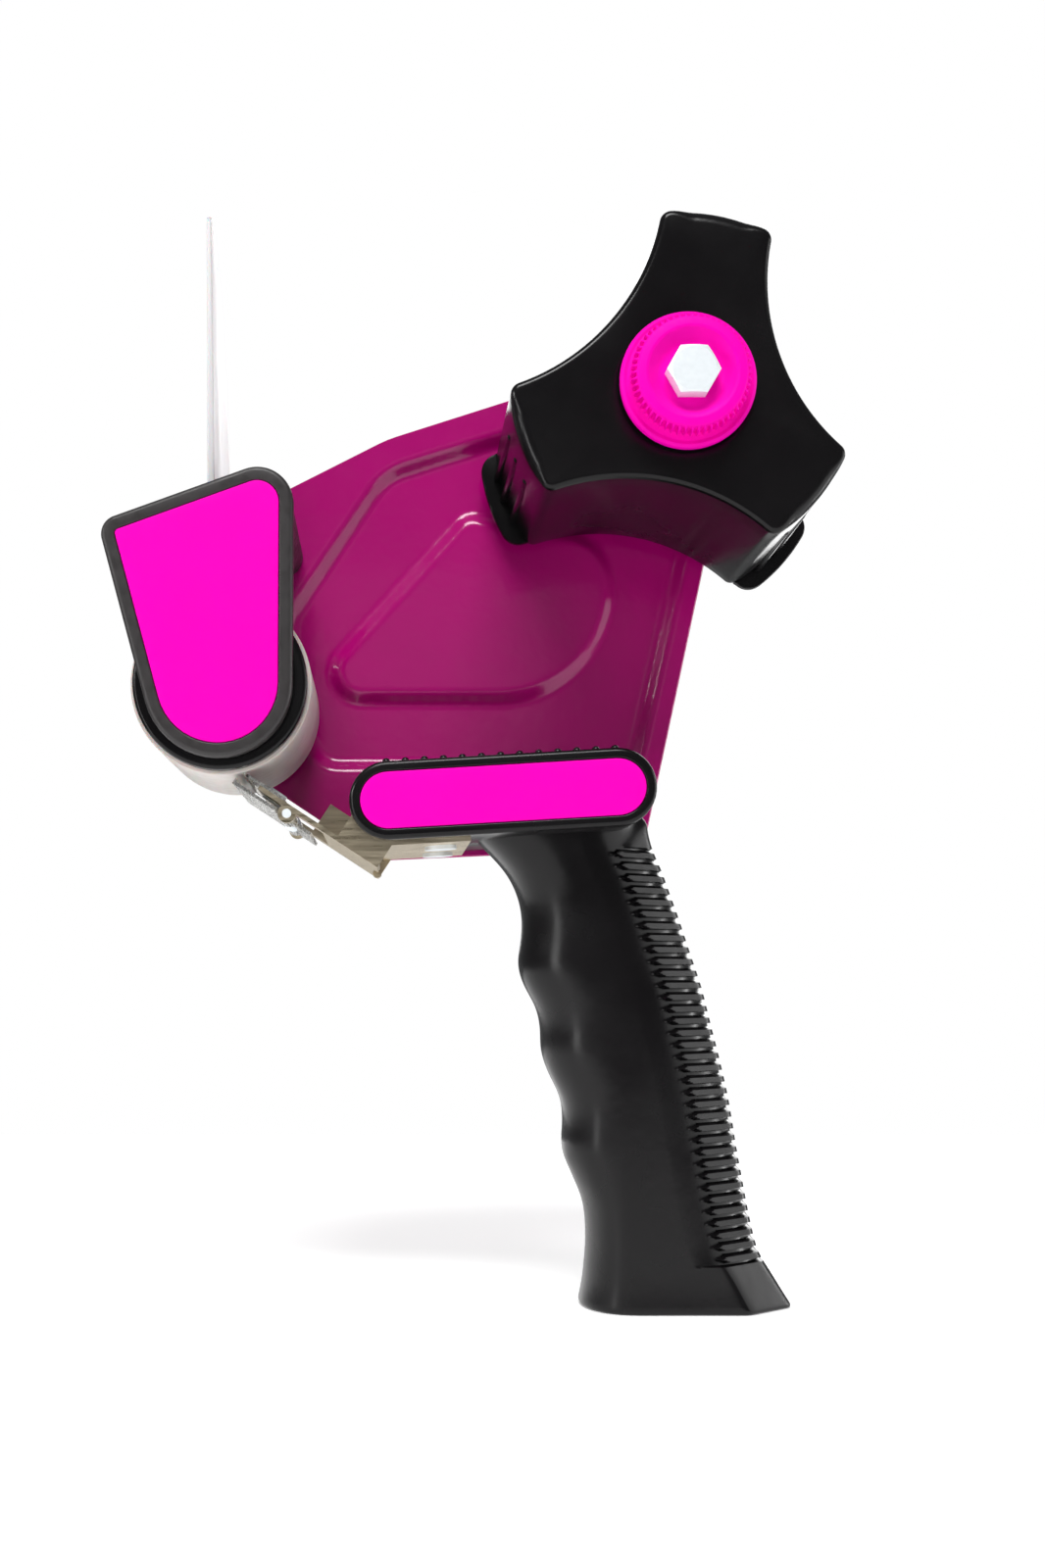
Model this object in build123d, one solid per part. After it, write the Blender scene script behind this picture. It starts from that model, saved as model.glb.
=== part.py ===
"""Hand-held tape gun for 50 mm tape on a 3 inch core.

Frame: the origin is on the tape-core axis, in the mid-plane of the tape. +X points from the front
roller towards the core, +Z points from the handle towards the core, and +Y points from the open side
(cheek, knob) towards the steel side plate. All lengths are millimetres.
"""
from build123d import *
from math import atan2, cos, degrees, dist, pi, radians, sin
import os

# ---------------------------------------------------------------- driving dimensions
CORE_RADIUS = 38.1                      # 3 inch cardboard core
SHEET = 1.5                             # side plate thickness
PLATE_NEAR = 27.0                       # near face of the side plate's flat rim
PLATE_FAR = PLATE_NEAR + SHEET
DISH_DEPTH = 2.5                        # how far the pressed panel lies behind the rim
ISLAND_RISE = 1.8                       # how far the pressed island stands out of that panel
RUN = 0.06                              # radial clearance of a running fit

AXLE_R = 3.0                            # M6 bolt that the core holder turns about
SLEEVE_R = 5.0
BUSH_R = 7.0
BOSS_R = 9.5
HUB_NEAR = -26.5
HUB_FAR = 25.5
LIP_NEAR = 22.0
LIP_FAR = 24.0
LIP_R = 42.4
ARM_ANGLES = (79.0, 199.0, 319.0)
ARM_TIP_R = CORE_RADIUS + 0.1           # the arms grip the core
SCALLOP_R = 47.7                        # concave flank between two arms
SCALLOP_AT = 69.4
HUB_WALL = 2.2
POCKET_R = 12.5                         # brake pocket in the hub's near face
POCKET_FLOOR = -20.0

KNOB_FLANGE_R = 14.8
KNOB_RING_R = 12.9
KNOB_RECESS_R = 9.7
KNOB_TEETH = 56
KNOB_BACK = -27.5
KNOB_FRONT = -35.0
HEAD_ACROSS_FLATS = 10.0
HEAD_SEAT = -32.8
HEAD_HEIGHT = 4.0

ROLLER_X, ROLLER_Z = -101.6, -64.8
CAP_R = 19.1                            # end caps
DRUM_R = 19.9
ROLLER_NEAR = -26.2
ROLLER_FAR = 26.2
ROLLER_CAP = 3.6
DRUM_BORE_R = 17.1
ROLLER_AXLE_R = 3.0

CHEEK_BACK = -27.3
CHEEK_FRONT = -30.7
CHEEK_POCKET = 1.6
CHEEK_RIM = 3.0
CHEEK_CORNERS = (                       # x, z and radius of the three rounded corners
    (-122.7, -33.5, 4.1),
    (-93.1, -26.8, 7.8),
    (-101.7, -65.5, 16.2),
)

POST_X, POST_Z, POST_R = -91.3, -25.3, 5.3
FLAP_X, FLAP_Z = -103.85, -38.0         # rod that carries the flap
FLAP_ROD_R = 2.0
FLAP_TOP = 39.3
FLAP_THICK = 1.8
FLAP_NEAR, FLAP_END = -22.0, 21.0

PLATFORM_LEFT = (-64.8, -90.6)          # centres of the rounded ends
PLATFORM_RIGHT = (-14.9, -87.7)
PLATFORM_R = 8.6
PLATFORM_RIM = 2.3
PLATFORM_NEAR = -27.0
PLATFORM_POCKET = 1.4
RIDGES = 13
RIDGE_R = 0.9

KNIFE_X, KNIFE_Z = -97.4, -85.3         # front corner of the knife bracket
KNIFE_ANGLE = -33.2                     # slope of its web, front to back
KNIFE_LENGTH = 36.0
KNIFE_SHEET = 1.0
KNIFE_NEAR = -23.0
GUARD_PIN_S, GUARD_PIN_T = 12.9, -1.0   # along and above the web
GUARD_PIN_R = 1.0

HANDLE_WALL = 2.6
RIB_COUNT = 35
RIB_PITCH = 2.684
RIB_TOP = -101.4
RIB_RISE = 0.7
RIB_THICK = 1.3
# height, front edge, back edge and half depth of the grip's level sections
GRIP = (
    (-90.0, -46.6, -7.5, 16.5),
    (-92.0, -46.4, -6.5, 16.4),
    (-97.0, -45.0, -5.7, 16.2),
    (-100.5, -41.4, -4.6, 15.8),
    (-104.5, -37.8, -2.8, 15.4),
    (-109.5, -35.1, -1.0, 15.0),
    (-115.0, -33.8, 1.0, 15.0),
    (-120.5, -34.0, 2.8, 15.0),
    (-126.5, -34.7, 4.8, 15.0),
    (-131.0, -33.4, 6.3, 15.0),
    (-136.0, -30.6, 7.6, 15.0),
    (-141.0, -29.5, 8.8, 15.0),
    (-146.0, -29.4, 10.1, 15.0),
    (-151.5, -27.6, 11.4, 15.0),
    (-157.0, -24.9, 12.6, 15.0),
    (-163.0, -24.3, 13.6, 15.0),
    (-169.0, -24.6, 14.6, 15.0),
    (-175.0, -22.2, 15.7, 15.0),
    (-181.0, -19.7, 16.8, 15.0),
    (-188.0, -18.9, 18.3, 15.0),
    (-193.0, -19.0, 19.8, 15.0),
    (-196.0, -19.3, 21.8, 15.0),
    (-199.0, -19.6, 23.6, 15.1),
    (-205.0, -20.8, 27.4, 15.6),
)
GRIP_SCREWS = ((-17.0, -111.0), (-7.0, -151.0), (1.0, -190.0))
PLATE_SCREWS = ((-56.0, -89.7), (-39.5, -88.9), (-23.0, -87.9))
SHELF_SCREWS = ((11.2, -12.0), (11.2, 12.0))    # along the platform from its left centre, and depth


# ---------------------------------------------------------------- helpers
def at_y(face, y):
    """A face drawn with local x, y as X, Z, stood up at depth y."""
    return Pos(0, y, 0) * (Plane.XZ * face)


def slab(face, near, far):
    """A face drawn in X, Z, made solid between two depths."""
    return extrude(at_y(face, far), amount=far - near)


def tapered(near_face, near, far_face, far):
    return loft([at_y(near_face, near), at_y(far_face, far)], ruled=True)


def disc(x, z, radius):
    return Pos(x, z) * Circle(radius)


def rod(x, z, radius, near, far):
    return slab(disc(x, z, radius), near, far)


def tube(x, z, outer, inner, near, far):
    return rod(x, z, outer, near, far) - rod(x, z, inner, near - 1, far + 1)


def rounded(corners):
    """A polygon of (x, z, radius) corners."""
    face = Polygon(*[(x, z) for x, z, _ in corners], align=None)
    for x, z, radius in corners:
        if radius:
            corner = face.vertices().sort_by_distance((x, z, 0))[0]
            face = fillet(corner, radius)
    return face


def hull_of(circles):
    edges = [disc(x, z, radius).edge() for x, z, radius in circles]
    return make_hull(edges)


def hexagon(x, z, across_flats):
    return Pos(x, z) * RegularPolygon(across_flats / 2, 6, major_radius=False)


def pan_screw(x, z, shank, head, seat, tip, head_height):
    """A screw driven from the far side: its head sits on depth seat and its shank ends at depth tip."""
    body = rod(x, z, shank, tip, seat) + rod(x, z, head, seat, seat + head_height)
    slot = slab(Pos(x, z) * Rectangle(head * 1.3, 0.9), seat + head_height - 1.0, seat + head_height + 1)
    cross = slab(Pos(x, z) * Rectangle(0.9, head * 1.3), seat + head_height - 1.0, seat + head_height + 1)
    return body - slot - cross


def save(shape, name):
    shape.label = name
    export_step(shape, os.path.join("parts", name + ".step"))


# ---------------------------------------------------------------- side plate
def plate_outline():
    return rounded((
        (26.2, 33.0, 21.0),
        (-65.1, 3.9, 30.0),
        (-112.0, -19.8, 8.0),
        (-115.0, -60.0, 12.0),
        (-106.0, -74.4, 6.0),
        (-66.8, -100.4, 3.0),
        (-1.6, -97.5, 4.0),
    ))


def dish_outline():
    return rounded((
        (20.4, 23.7, 16.0),
        (-66.5, -3.6, 16.0),
        (-90.5, -39.5, 8.0),
        (-91.0, -62.5, 6.0),
        (-82.0, -78.2, 9.0),
        (-2.6, -78.2, 6.0),
    ))


def island_outline():
    return rounded((
        (-45.8, -13.2, 6.0),
        (-8.5, -20.5, 13.5),
        (-8.5, -61.5, 29.0),
        (-89.4, -61.5, 8.0),
    ))


def side_plate():
    slope = 1.6
    floor_near = PLATE_NEAR + DISH_DEPTH
    floor_far = floor_near + SHEET
    island_near = floor_near - ISLAND_RISE
    dish = dish_outline()
    dish_floor = offset(dish, -slope)
    island = island_outline()
    island_top = offset(island, -slope)
    sheet = slab(plate_outline(), PLATE_NEAR, PLATE_FAR)
    sheet += tapered(offset(dish, SHEET), PLATE_NEAR + 0.5, dish, floor_far)
    sheet -= tapered(dish, PLATE_NEAR, dish_floor, floor_near)
    sheet += rod(0, 0, 13.0, PLATE_NEAR, floor_far)
    sheet -= rod(0, 0, 11.5, PLATE_FAR, floor_far + 1)
    sheet += tapered(island_top, island_near, island, floor_far)
    sheet -= tapered(offset(island_top, -1.0), island_near + SHEET, offset(island_top, 0.4), floor_far)
    sheet -= rod(0, 0, AXLE_R + RUN, 0, 50)
    sheet -= rod(ROLLER_X, ROLLER_Z, 2.5, 0, 50)
    sheet -= rod(POST_X, POST_Z, 2.0, 0, 50)
    sheet -= rod(FLAP_X, FLAP_Z, FLAP_ROD_R, 0, 50)
    for x, z in PLATE_SCREWS:
        sheet -= rod(x, z, 2.0, 0, 50)
    return sheet


# ---------------------------------------------------------------- core holder and its brake
def star(grow=0.0):
    """Three arms: a disc less three large scallops."""
    face = Circle(ARM_TIP_R + grow)
    for angle in ARM_ANGLES:
        mid = radians(angle + 60)
        face -= disc(SCALLOP_AT * cos(mid), SCALLOP_AT * sin(mid), SCALLOP_R - grow)
    return face


def hub():
    draft = 0.2
    inner_near = HUB_NEAR + HUB_WALL
    body = tapered(star(), HUB_NEAR, star(draft), LIP_FAR)
    profile = Polygon((0, HUB_NEAR), (ARM_TIP_R - 3.6, HUB_NEAR), (ARM_TIP_R - 1.1, HUB_NEAR + 1.1),
                      (ARM_TIP_R, HUB_NEAR + 3.8), (ARM_TIP_R + 0.5, LIP_FAR), (0, LIP_FAR), align=None)
    body &= revolve(profile, Axis.Y)
    body -= tapered(star(-HUB_WALL), inner_near, star(draft - HUB_WALL), LIP_FAR + 0.01)
    for angle in ARM_ANGLES:
        body += arm_lip(angle)
        for step in (-7.5, 0.0, 7.5):
            body += arm_rib(angle + step)
    body += rod(0, 0, POCKET_R + HUB_WALL, inner_near - 0.5, POCKET_FLOOR + 2)
    body += rod(0, 0, BOSS_R, POCKET_FLOOR, HUB_FAR)
    body -= rod(0, 0, POCKET_R, HUB_NEAR - 1, POCKET_FLOOR)
    body -= rod(0, 0, BUSH_R, POCKET_FLOOR - 1, HUB_FAR + 1)
    return body


def arm_lip(angle):
    """Flange tab at an arm's far end, the stop for the tape roll."""
    tab = Pos(ARM_TIP_R + 0.5, 0) * Rectangle(2 * (LIP_R - ARM_TIP_R), 23.0)
    tab = fillet(tab.vertices().group_by(Axis.X)[-1], 4.5) & Circle(LIP_R)
    return slab(Rot(0, 0, angle) * tab, LIP_NEAR, LIP_FAR)


def arm_rib(angle):
    """Wedge-shaped grip rib: it rises from the arm's tip towards the lip."""
    start, rise, width = -12.0, 0.8, 1.8
    wedge = Polygon((ARM_TIP_R - 1.0, start), (ARM_TIP_R + 0.1, start), (ARM_TIP_R + rise * 0.75, start + 9),
                    (ARM_TIP_R + rise, LIP_NEAR + 0.5), (ARM_TIP_R - 1.0, LIP_NEAR + 0.5), align=None)
    solid = Pos(0, 0, -width / 2) * extrude(wedge, amount=width)
    return Rot(0, -angle, 0) * solid


def axle_sleeve():
    return tube(0, 0, SLEEVE_R, AXLE_R + RUN, POCKET_FLOOR - 0.4, PLATE_NEAR)


def hub_bushing():
    return tube(0, 0, BUSH_R, SLEEVE_R + RUN, POCKET_FLOOR, HUB_FAR)


def rear_washer():
    return tube(0, 0, BOSS_R, SLEEVE_R + RUN, HUB_FAR + 0.1, PLATE_NEAR)


def friction_disc():
    return tube(0, 0, POCKET_R - 0.6, SLEEVE_R + RUN, POCKET_FLOOR - 1.3, POCKET_FLOOR - 0.1)


def brake_washer():
    return tube(0, 0, POCKET_R - 1.0, AXLE_R + 0.2, POCKET_FLOOR - 2.4, POCKET_FLOOR - 1.3)


def thrust_washer():
    return tube(0, 0, 10.2, AXLE_R + 0.2, KNOB_BACK - 1.9, KNOB_BACK - 0.9)


def brake_spring():
    wire, mean, turns = 0.8, 8.0, 2.5
    low = KNOB_BACK - 0.9 + wire
    high = POCKET_FLOOR - 2.4 - wire
    path = Helix(pitch=(high - low) / turns, height=high - low, radius=mean)
    coil = sweep((path ^ 0) * Circle(wire - 0.02), path=path, is_frenet=True)
    return Pos(0, low, 0) * (Rot(-90, 0, 0) * coil)


def knob_teeth():
    """Fine grip teeth round the knob's outer ring."""
    tooth = Polygon((KNOB_RING_R - 0.8, -0.45), (KNOB_RING_R + 0.15, -0.12), (KNOB_RING_R + 0.15, 0.12),
                    (KNOB_RING_R - 0.8, 0.45), align=None)
    face = Circle(KNOB_RING_R - 0.5) - Circle(KNOB_RING_R - 1.5)
    for index in range(KNOB_TEETH):
        face += Rot(0, 0, index * 360 / KNOB_TEETH) * tooth
    return face


def tension_knob():
    profile = Polygon((0, KNOB_BACK), (KNOB_FLANGE_R, KNOB_BACK), (KNOB_FLANGE_R, KNOB_BACK - 0.9),
                      (KNOB_FLANGE_R - 0.6, KNOB_BACK - 1.5), (KNOB_RING_R - 0.9, KNOB_BACK - 2.2),
                      (KNOB_RING_R - 0.9, KNOB_FRONT + 1.0), (KNOB_RECESS_R + 1.9, KNOB_FRONT + 0.4),
                      (KNOB_RECESS_R + 0.4, KNOB_FRONT), (KNOB_RECESS_R, KNOB_FRONT + 0.3),
                      (KNOB_RECESS_R - 1.6, HEAD_SEAT), (0, HEAD_SEAT), align=None)
    body = revolve(profile, Axis.Y)
    body += slab(knob_teeth(), KNOB_FRONT + 1.0, KNOB_BACK - 2.9)
    body -= rod(0, 0, 10.6, KNOB_BACK - 2.0, KNOB_BACK + 1)
    body -= rod(0, 0, AXLE_R - 0.05, KNOB_FRONT - 1, 0)
    return body


def knob_bolt():
    head = slab(hexagon(0, 0, HEAD_ACROSS_FLATS), HEAD_SEAT - HEAD_HEIGHT, HEAD_SEAT)
    crown = Polygon((0, HEAD_SEAT), (6.2, HEAD_SEAT), (6.2, HEAD_SEAT - HEAD_HEIGHT + 0.9),
                    (4.7, HEAD_SEAT - HEAD_HEIGHT), (0, HEAD_SEAT - HEAD_HEIGHT), align=None)
    head &= revolve(crown, Axis.Y)
    return head + rod(0, 0, AXLE_R - 0.05, HEAD_SEAT, PLATE_FAR + 8)


def axle_nut():
    nut = slab(hexagon(0, 0, HEAD_ACROSS_FLATS), PLATE_FAR, PLATE_FAR + 5)
    return nut - rod(0, 0, AXLE_R + 0.01, 0, 50)


# ---------------------------------------------------------------- roller
def roller_drum():
    return tube(ROLLER_X, ROLLER_Z, DRUM_R, DRUM_BORE_R,
                ROLLER_NEAR + ROLLER_CAP, ROLLER_FAR - ROLLER_CAP)


def roller_cap(outer_face, inward):
    """End cap: a rim a little smaller than the drum, a spigot inside it and a bearing boss."""
    inner_face = outer_face + inward * ROLLER_CAP
    spigot_end = inner_face + inward * 4
    boss_end = outer_face + inward * 14
    disc_span = sorted((outer_face, inner_face))
    spigot_span = sorted((outer_face + inward * 1.2, spigot_end))
    boss_span = sorted((outer_face, boss_end))
    groove_span = sorted((outer_face - inward, outer_face + inward * 0.6))
    cap = rod(ROLLER_X, ROLLER_Z, CAP_R, *disc_span)
    rim = cap.edges().filter_by(GeomType.CIRCLE).sort_by(Axis.Y)
    cap = fillet(rim[0] if inward > 0 else rim[-1], 0.8)
    cap += rod(ROLLER_X, ROLLER_Z, DRUM_BORE_R, *spigot_span)
    cap -= tube(ROLLER_X, ROLLER_Z, DRUM_BORE_R - 2, 7.0, spigot_span[0] + (0.8 if inward > 0 else -1),
                spigot_span[1] + (1 if inward > 0 else -0.8))
    cap += rod(ROLLER_X, ROLLER_Z, 6.5, *boss_span)
    cap -= tube(ROLLER_X, ROLLER_Z, DRUM_BORE_R - 1.5, 8.5, *groove_span)
    return cap - rod(ROLLER_X, ROLLER_Z, ROLLER_AXLE_R + RUN, -60, 60)


def roller_axle():
    shaft = rod(ROLLER_X, ROLLER_Z, ROLLER_AXLE_R, CHEEK_BACK - 1.4, PLATE_NEAR)
    return shaft + rod(ROLLER_X, ROLLER_Z, 2.5, PLATE_NEAR, PLATE_FAR + 5.5)


def roller_nut():
    nut = slab(hexagon(ROLLER_X, ROLLER_Z, 8.0), PLATE_FAR, PLATE_FAR + 4)
    return nut - rod(ROLLER_X, ROLLER_Z, 2.5, 0, 50)


# ---------------------------------------------------------------- cheek, post and flap
def front_cheek():
    inner = [(x, z, radius - CHEEK_RIM) for x, z, radius in CHEEK_CORNERS]
    plate = slab(hull_of(CHEEK_CORNERS), CHEEK_FRONT, CHEEK_BACK)
    plate = fillet(plate.faces().sort_by(Axis.Y)[0].edges(), 0.5)
    plate -= slab(hull_of(inner), CHEEK_FRONT - 1, CHEEK_FRONT + CHEEK_POCKET)
    plate -= rod(ROLLER_X, ROLLER_Z, ROLLER_AXLE_R, CHEEK_BACK - 1.4, 0)
    plate -= rod(POST_X, POST_Z, 2.0, CHEEK_BACK - 1.4, 0)
    return plate - rod(FLAP_X, FLAP_Z, FLAP_ROD_R, CHEEK_BACK - 1.4, 0)


def cheek_insert():
    inner = [(x, z, radius - CHEEK_RIM - 0.1) for x, z, radius in CHEEK_CORNERS]
    plate = slab(hull_of(inner), CHEEK_FRONT - 0.2, CHEEK_FRONT + CHEEK_POCKET)
    return chamfer(plate.faces().sort_by(Axis.Y)[0].edges(), 0.2)


def spacer_post():
    return tube(POST_X, POST_Z, POST_R, 2.0, CHEEK_BACK, PLATE_NEAR)


def post_screw():
    return pan_screw(POST_X, POST_Z, 2.0, 3.8, PLATE_FAR, CHEEK_BACK - 1.3, 2.4)


def flap_rod():
    shaft = rod(FLAP_X, FLAP_Z, FLAP_ROD_R, CHEEK_BACK - 1.3, PLATE_FAR)
    return shaft + rod(FLAP_X, FLAP_Z, 3.2, PLATE_FAR, PLATE_FAR + 1.2)


def flap():
    """Flexible tape flap with a moulded sleeve that turns on its rod."""
    sleeve_r = 3.6
    reach = FLAP_TOP - FLAP_Z
    sheet = Pos(0, 0, FLAP_Z + reach / 2) * Box(FLAP_THICK, FLAP_END - FLAP_NEAR, reach)
    sheet = Pos(FLAP_X, (FLAP_NEAR + FLAP_END) / 2, 0) * sheet
    corners = sheet.edges().filter_by(Axis.X).group_by(Axis.Z)[-1]
    sheet = fillet(corners, 3.0)
    sheet += rod(FLAP_X, FLAP_Z, sleeve_r, FLAP_NEAR, FLAP_END)
    return sheet - rod(FLAP_X, FLAP_Z, FLAP_ROD_R + RUN, FLAP_NEAR - 1, FLAP_END + 1)


# ---------------------------------------------------------------- knife
def knife_place(shape):
    """Moves a shape drawn with x along the web and z above it to the knife's place and slope."""
    return Pos(KNIFE_X, 0, KNIFE_Z) * (Rot(0, -KNIFE_ANGLE, 0) * shape)


def knife_box(start, end, low, high, near, far):
    block = Box(end - start, far - near, high - low)
    return Pos((start + end) / 2, (near + far) / 2, (low + high) / 2) * block


def platform_slope():
    rise = PLATFORM_RIGHT[1] - PLATFORM_LEFT[1]
    run = PLATFORM_RIGHT[0] - PLATFORM_LEFT[0]
    return degrees(atan2(rise, run))


def platform_place(shape):
    """Moves a shape drawn from the platform's left centre, x along it and z up, to its place and slope."""
    return Pos(PLATFORM_LEFT[0], 0, PLATFORM_LEFT[1]) * (Rot(0, -platform_slope(), 0) * shape)


def shelf_strip():
    """Flange of the bracket that lies against the underside of the platform."""
    start, end = -1.8, 17.6
    strip = Box(end - start, PLATE_NEAR - KNIFE_NEAR, KNIFE_SHEET)
    strip = Pos((start + end) / 2, (PLATE_NEAR + KNIFE_NEAR) / 2, -PLATFORM_R - KNIFE_SHEET / 2) * strip
    return platform_place(strip)


def shelf_holes(radius, low, high):
    """Upright cylinders at the shelf screws, from low to high above the platform's underside."""
    mid = (low + high) / 2 - PLATFORM_R
    return [platform_place(Pos(x, y, mid) * Cylinder(radius, high - low)) for x, y in SHELF_SCREWS]


def knife_bracket():
    hole_span = (-4, 4)
    web = knife_box(4.6, KNIFE_LENGTH, 0, KNIFE_SHEET, KNIFE_NEAR, PLATE_NEAR)
    web -= knife_box(11.0, 21.5, -1, 3, -17.0, 19.0)
    web += pin_lug(KNIFE_NEAR, KNIFE_NEAR + KNIFE_SHEET)
    web += pin_lug(PLATE_NEAR - 2, PLATE_NEAR - 1)
    web += knife_box(25.0, 36.0, 0, 7.5, KNIFE_NEAR, KNIFE_NEAR + KNIFE_SHEET)
    web += knife_box(16.0, 36.0, 0, 9.0, PLATE_NEAR - KNIFE_SHEET, PLATE_NEAR)
    web += Pos(KNIFE_LENGTH, 0, -0.2) * Rot(90, 0, 0) * Cylinder(1.0, 4.0)
    for y in (-14.0, 16.0):
        web -= Pos(7.6, y, 0) * Cylinder(1.5, 10.0)
    return knife_place(web) + shelf_strip() - shelf_holes(2.0, -3.0, 3.0)


def pin_lug(near, far):
    """Round ear that holds one end of the guard's pin."""
    mid = (near + far) / 2
    lug = Pos(GUARD_PIN_S, mid, GUARD_PIN_T) * Rot(90, 0, 0) * Cylinder(2.0, far - near)
    return lug - Pos(GUARD_PIN_S, mid, GUARD_PIN_T) * Rot(90, 0, 0) * Cylinder(GUARD_PIN_R, 10)


def blade():
    """Serrated cutting strip on top of the web, its teeth towards the roller."""
    pitch, depth, length, thick = 2.0, 1.6, 10.5, 0.6
    near, far = KNIFE_NEAR + 0.2, PLATE_NEAR - 2.8
    count = int((far - near) / pitch)
    points = [(length, near), (length, near + count * pitch)]
    for index in reversed(range(count)):
        points += [(depth, near + (index + 1) * pitch), (0, near + (index + 0.5) * pitch)]
    points += [(depth, near)]
    strip = extrude(Polygon(*points, align=None), amount=thick)
    strip = Pos(0, 0, KNIFE_SHEET) * strip
    for y in (-14.0, 16.0):
        strip -= Pos(7.6, y, 0) * Cylinder(1.5, 10.0)
    return knife_place(strip)


def blade_rivets():
    rivets = []
    for y in (-14.0, 16.0):
        rivet = Pos(7.6, y, 0.8) * Cylinder(1.5, 1.6)
        rivet += Pos(7.6, y, 2.0) * Cylinder(2.6, 0.8)
        rivet += Pos(7.6, y, -0.2) * Cylinder(2.2, 0.4)
        rivets.append(knife_place(rivet))
    return Compound(children=rivets)


def blade_guard():
    """Plate under the teeth that swings on its pin, with two knuckles round the pin."""
    low, high = GUARD_PIN_T - 0.9, GUARD_PIN_T - 0.2
    plate = knife_box(-0.8, 10.2, low, high, KNIFE_NEAR + 0.2, PLATE_NEAR - 2.8)
    plate += knife_box(10.2, 19.2, low, high, -16.4, 18.4)
    plate += knife_box(-0.8, -0.2, low, high + 0.6, KNIFE_NEAR + 0.2, PLATE_NEAR - 2.8)
    for near, far in ((-16.4, -7.4), (9.4, 18.4)):
        mid = (near + far) / 2
        plate += Pos(GUARD_PIN_S, mid, GUARD_PIN_T) * Rot(90, 0, 0) * Cylinder(1.75, far - near)
    plate -= knife_box(GUARD_PIN_S - 2.2, GUARD_PIN_S + 2.2, -4, 2, -7.4, 9.4)
    plate -= Pos(GUARD_PIN_S, 0, GUARD_PIN_T) * Rot(90, 0, 0) * Cylinder(GUARD_PIN_R + RUN, 80)
    return knife_place(plate)


def guard_pin():
    near, far = KNIFE_NEAR - 0.5, PLATE_NEAR - 0.6
    pin = Rot(90, 0, 0) * Cylinder(GUARD_PIN_R, far - near)
    return knife_place(Pos(GUARD_PIN_S, (near + far) / 2, GUARD_PIN_T) * pin)


def guard_spring():
    """Torsion spring round the pin: a close coil with one leg along the guard."""
    wire, turns, pitch = 0.35, 14, 0.8
    path = Helix(pitch=pitch, height=turns * pitch, radius=GUARD_PIN_R + 0.15 + wire)
    coil = sweep((path ^ 0) * Circle(wire), path=path, is_frenet=True)
    coil = Pos(GUARD_PIN_S, -6.0, GUARD_PIN_T) * (Rot(-90, 0, 0) * coil)
    return knife_place(coil)


# ---------------------------------------------------------------- handle
def grip_at(z):
    """Front edge, back edge and half depth of the grip at height z, between the listed sections."""
    for (z0, *upper), (z1, *lower) in zip(GRIP, GRIP[1:]):
        if z1 <= z <= z0:
            share = (z0 - z) / (z0 - z1)
            return [a + (b - a) * share for a, b in zip(upper, lower)]
    raise ValueError("height outside the grip")


def grip_section(z, grow=0.0):
    """Level section: a closed superellipse, flatter than an ellipse on its long sides."""
    front, back, half_depth = grip_at(z)
    half = (back - front) / 2 + grow
    depth = half_depth + grow
    power, count = 0.8, 16
    points = []
    for index in range(count):
        angle = 2 * pi * index / count
        c, s = cos(angle), sin(angle)
        x = half * abs(c) ** power * (1 if c >= 0 else -1)
        y = depth * abs(s) ** power * (1 if s >= 0 else -1)
        points.append(((front + back) / 2 + x, y, z))
    return make_face(Spline(*points, periodic=True))


def grip_solid(grow=0.0, top=0, bottom=len(GRIP)):
    return loft([grip_section(row[0], grow) for row in GRIP[top:bottom]])


def grip_rib(z):
    """One of the raised ribs round the back of the grip."""
    front, back, half_depth = grip_at(z)
    reach = 10.5
    band = extrude(grip_section(z, RIB_RISE), amount=RIB_THICK / 2, both=True)
    return band & (Pos(back - reach + 20, 0, z) * Box(40, 60, 10))


def platform_face(inset=0.0):
    radius = PLATFORM_R - inset
    return hull_of(((*PLATFORM_LEFT, radius), (*PLATFORM_RIGHT, radius)))


def platform_ridges():
    """Small cross ridges along the platform's top."""
    tilt = platform_slope()
    length = dist(PLATFORM_LEFT, PLATFORM_RIGHT)
    ridges = []
    for index in range(RIDGES):
        along = length * index / (RIDGES - 1)
        x = PLATFORM_LEFT[0] + along * cos(radians(tilt)) - (PLATFORM_R - 0.2) * sin(radians(tilt))
        z = PLATFORM_LEFT[1] + along * sin(radians(tilt)) + (PLATFORM_R - 0.2) * cos(radians(tilt))
        ridges.append(rod(x, z, RIDGE_R, PLATFORM_NEAR + 1.6, PLATE_NEAR - 3))
    return ridges


def handle_outside():
    body = slab(platform_face(), PLATFORM_NEAR, PLATE_NEAR) + platform_ridges()
    body += grip_solid()
    return body + [grip_rib(RIB_TOP - index * RIB_PITCH) for index in range(RIB_COUNT)]


def handle_hollow():
    hollow = slab(platform_face(HANDLE_WALL), PLATFORM_NEAR + 4.5, PLATE_NEAR - 7)
    inner = grip_solid(-HANDLE_WALL, 0, len(GRIP) - 1)
    return hollow + inner


def handle_bosses():
    bosses = [rod(x, z, 4.6, -17, 17) for x, z in GRIP_SCREWS]
    bosses += [rod(x, z, 4.6, 12, PLATE_NEAR) for x, z in PLATE_SCREWS]
    return bosses + shelf_holes(4.2, 0.0, 10.0)


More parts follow.
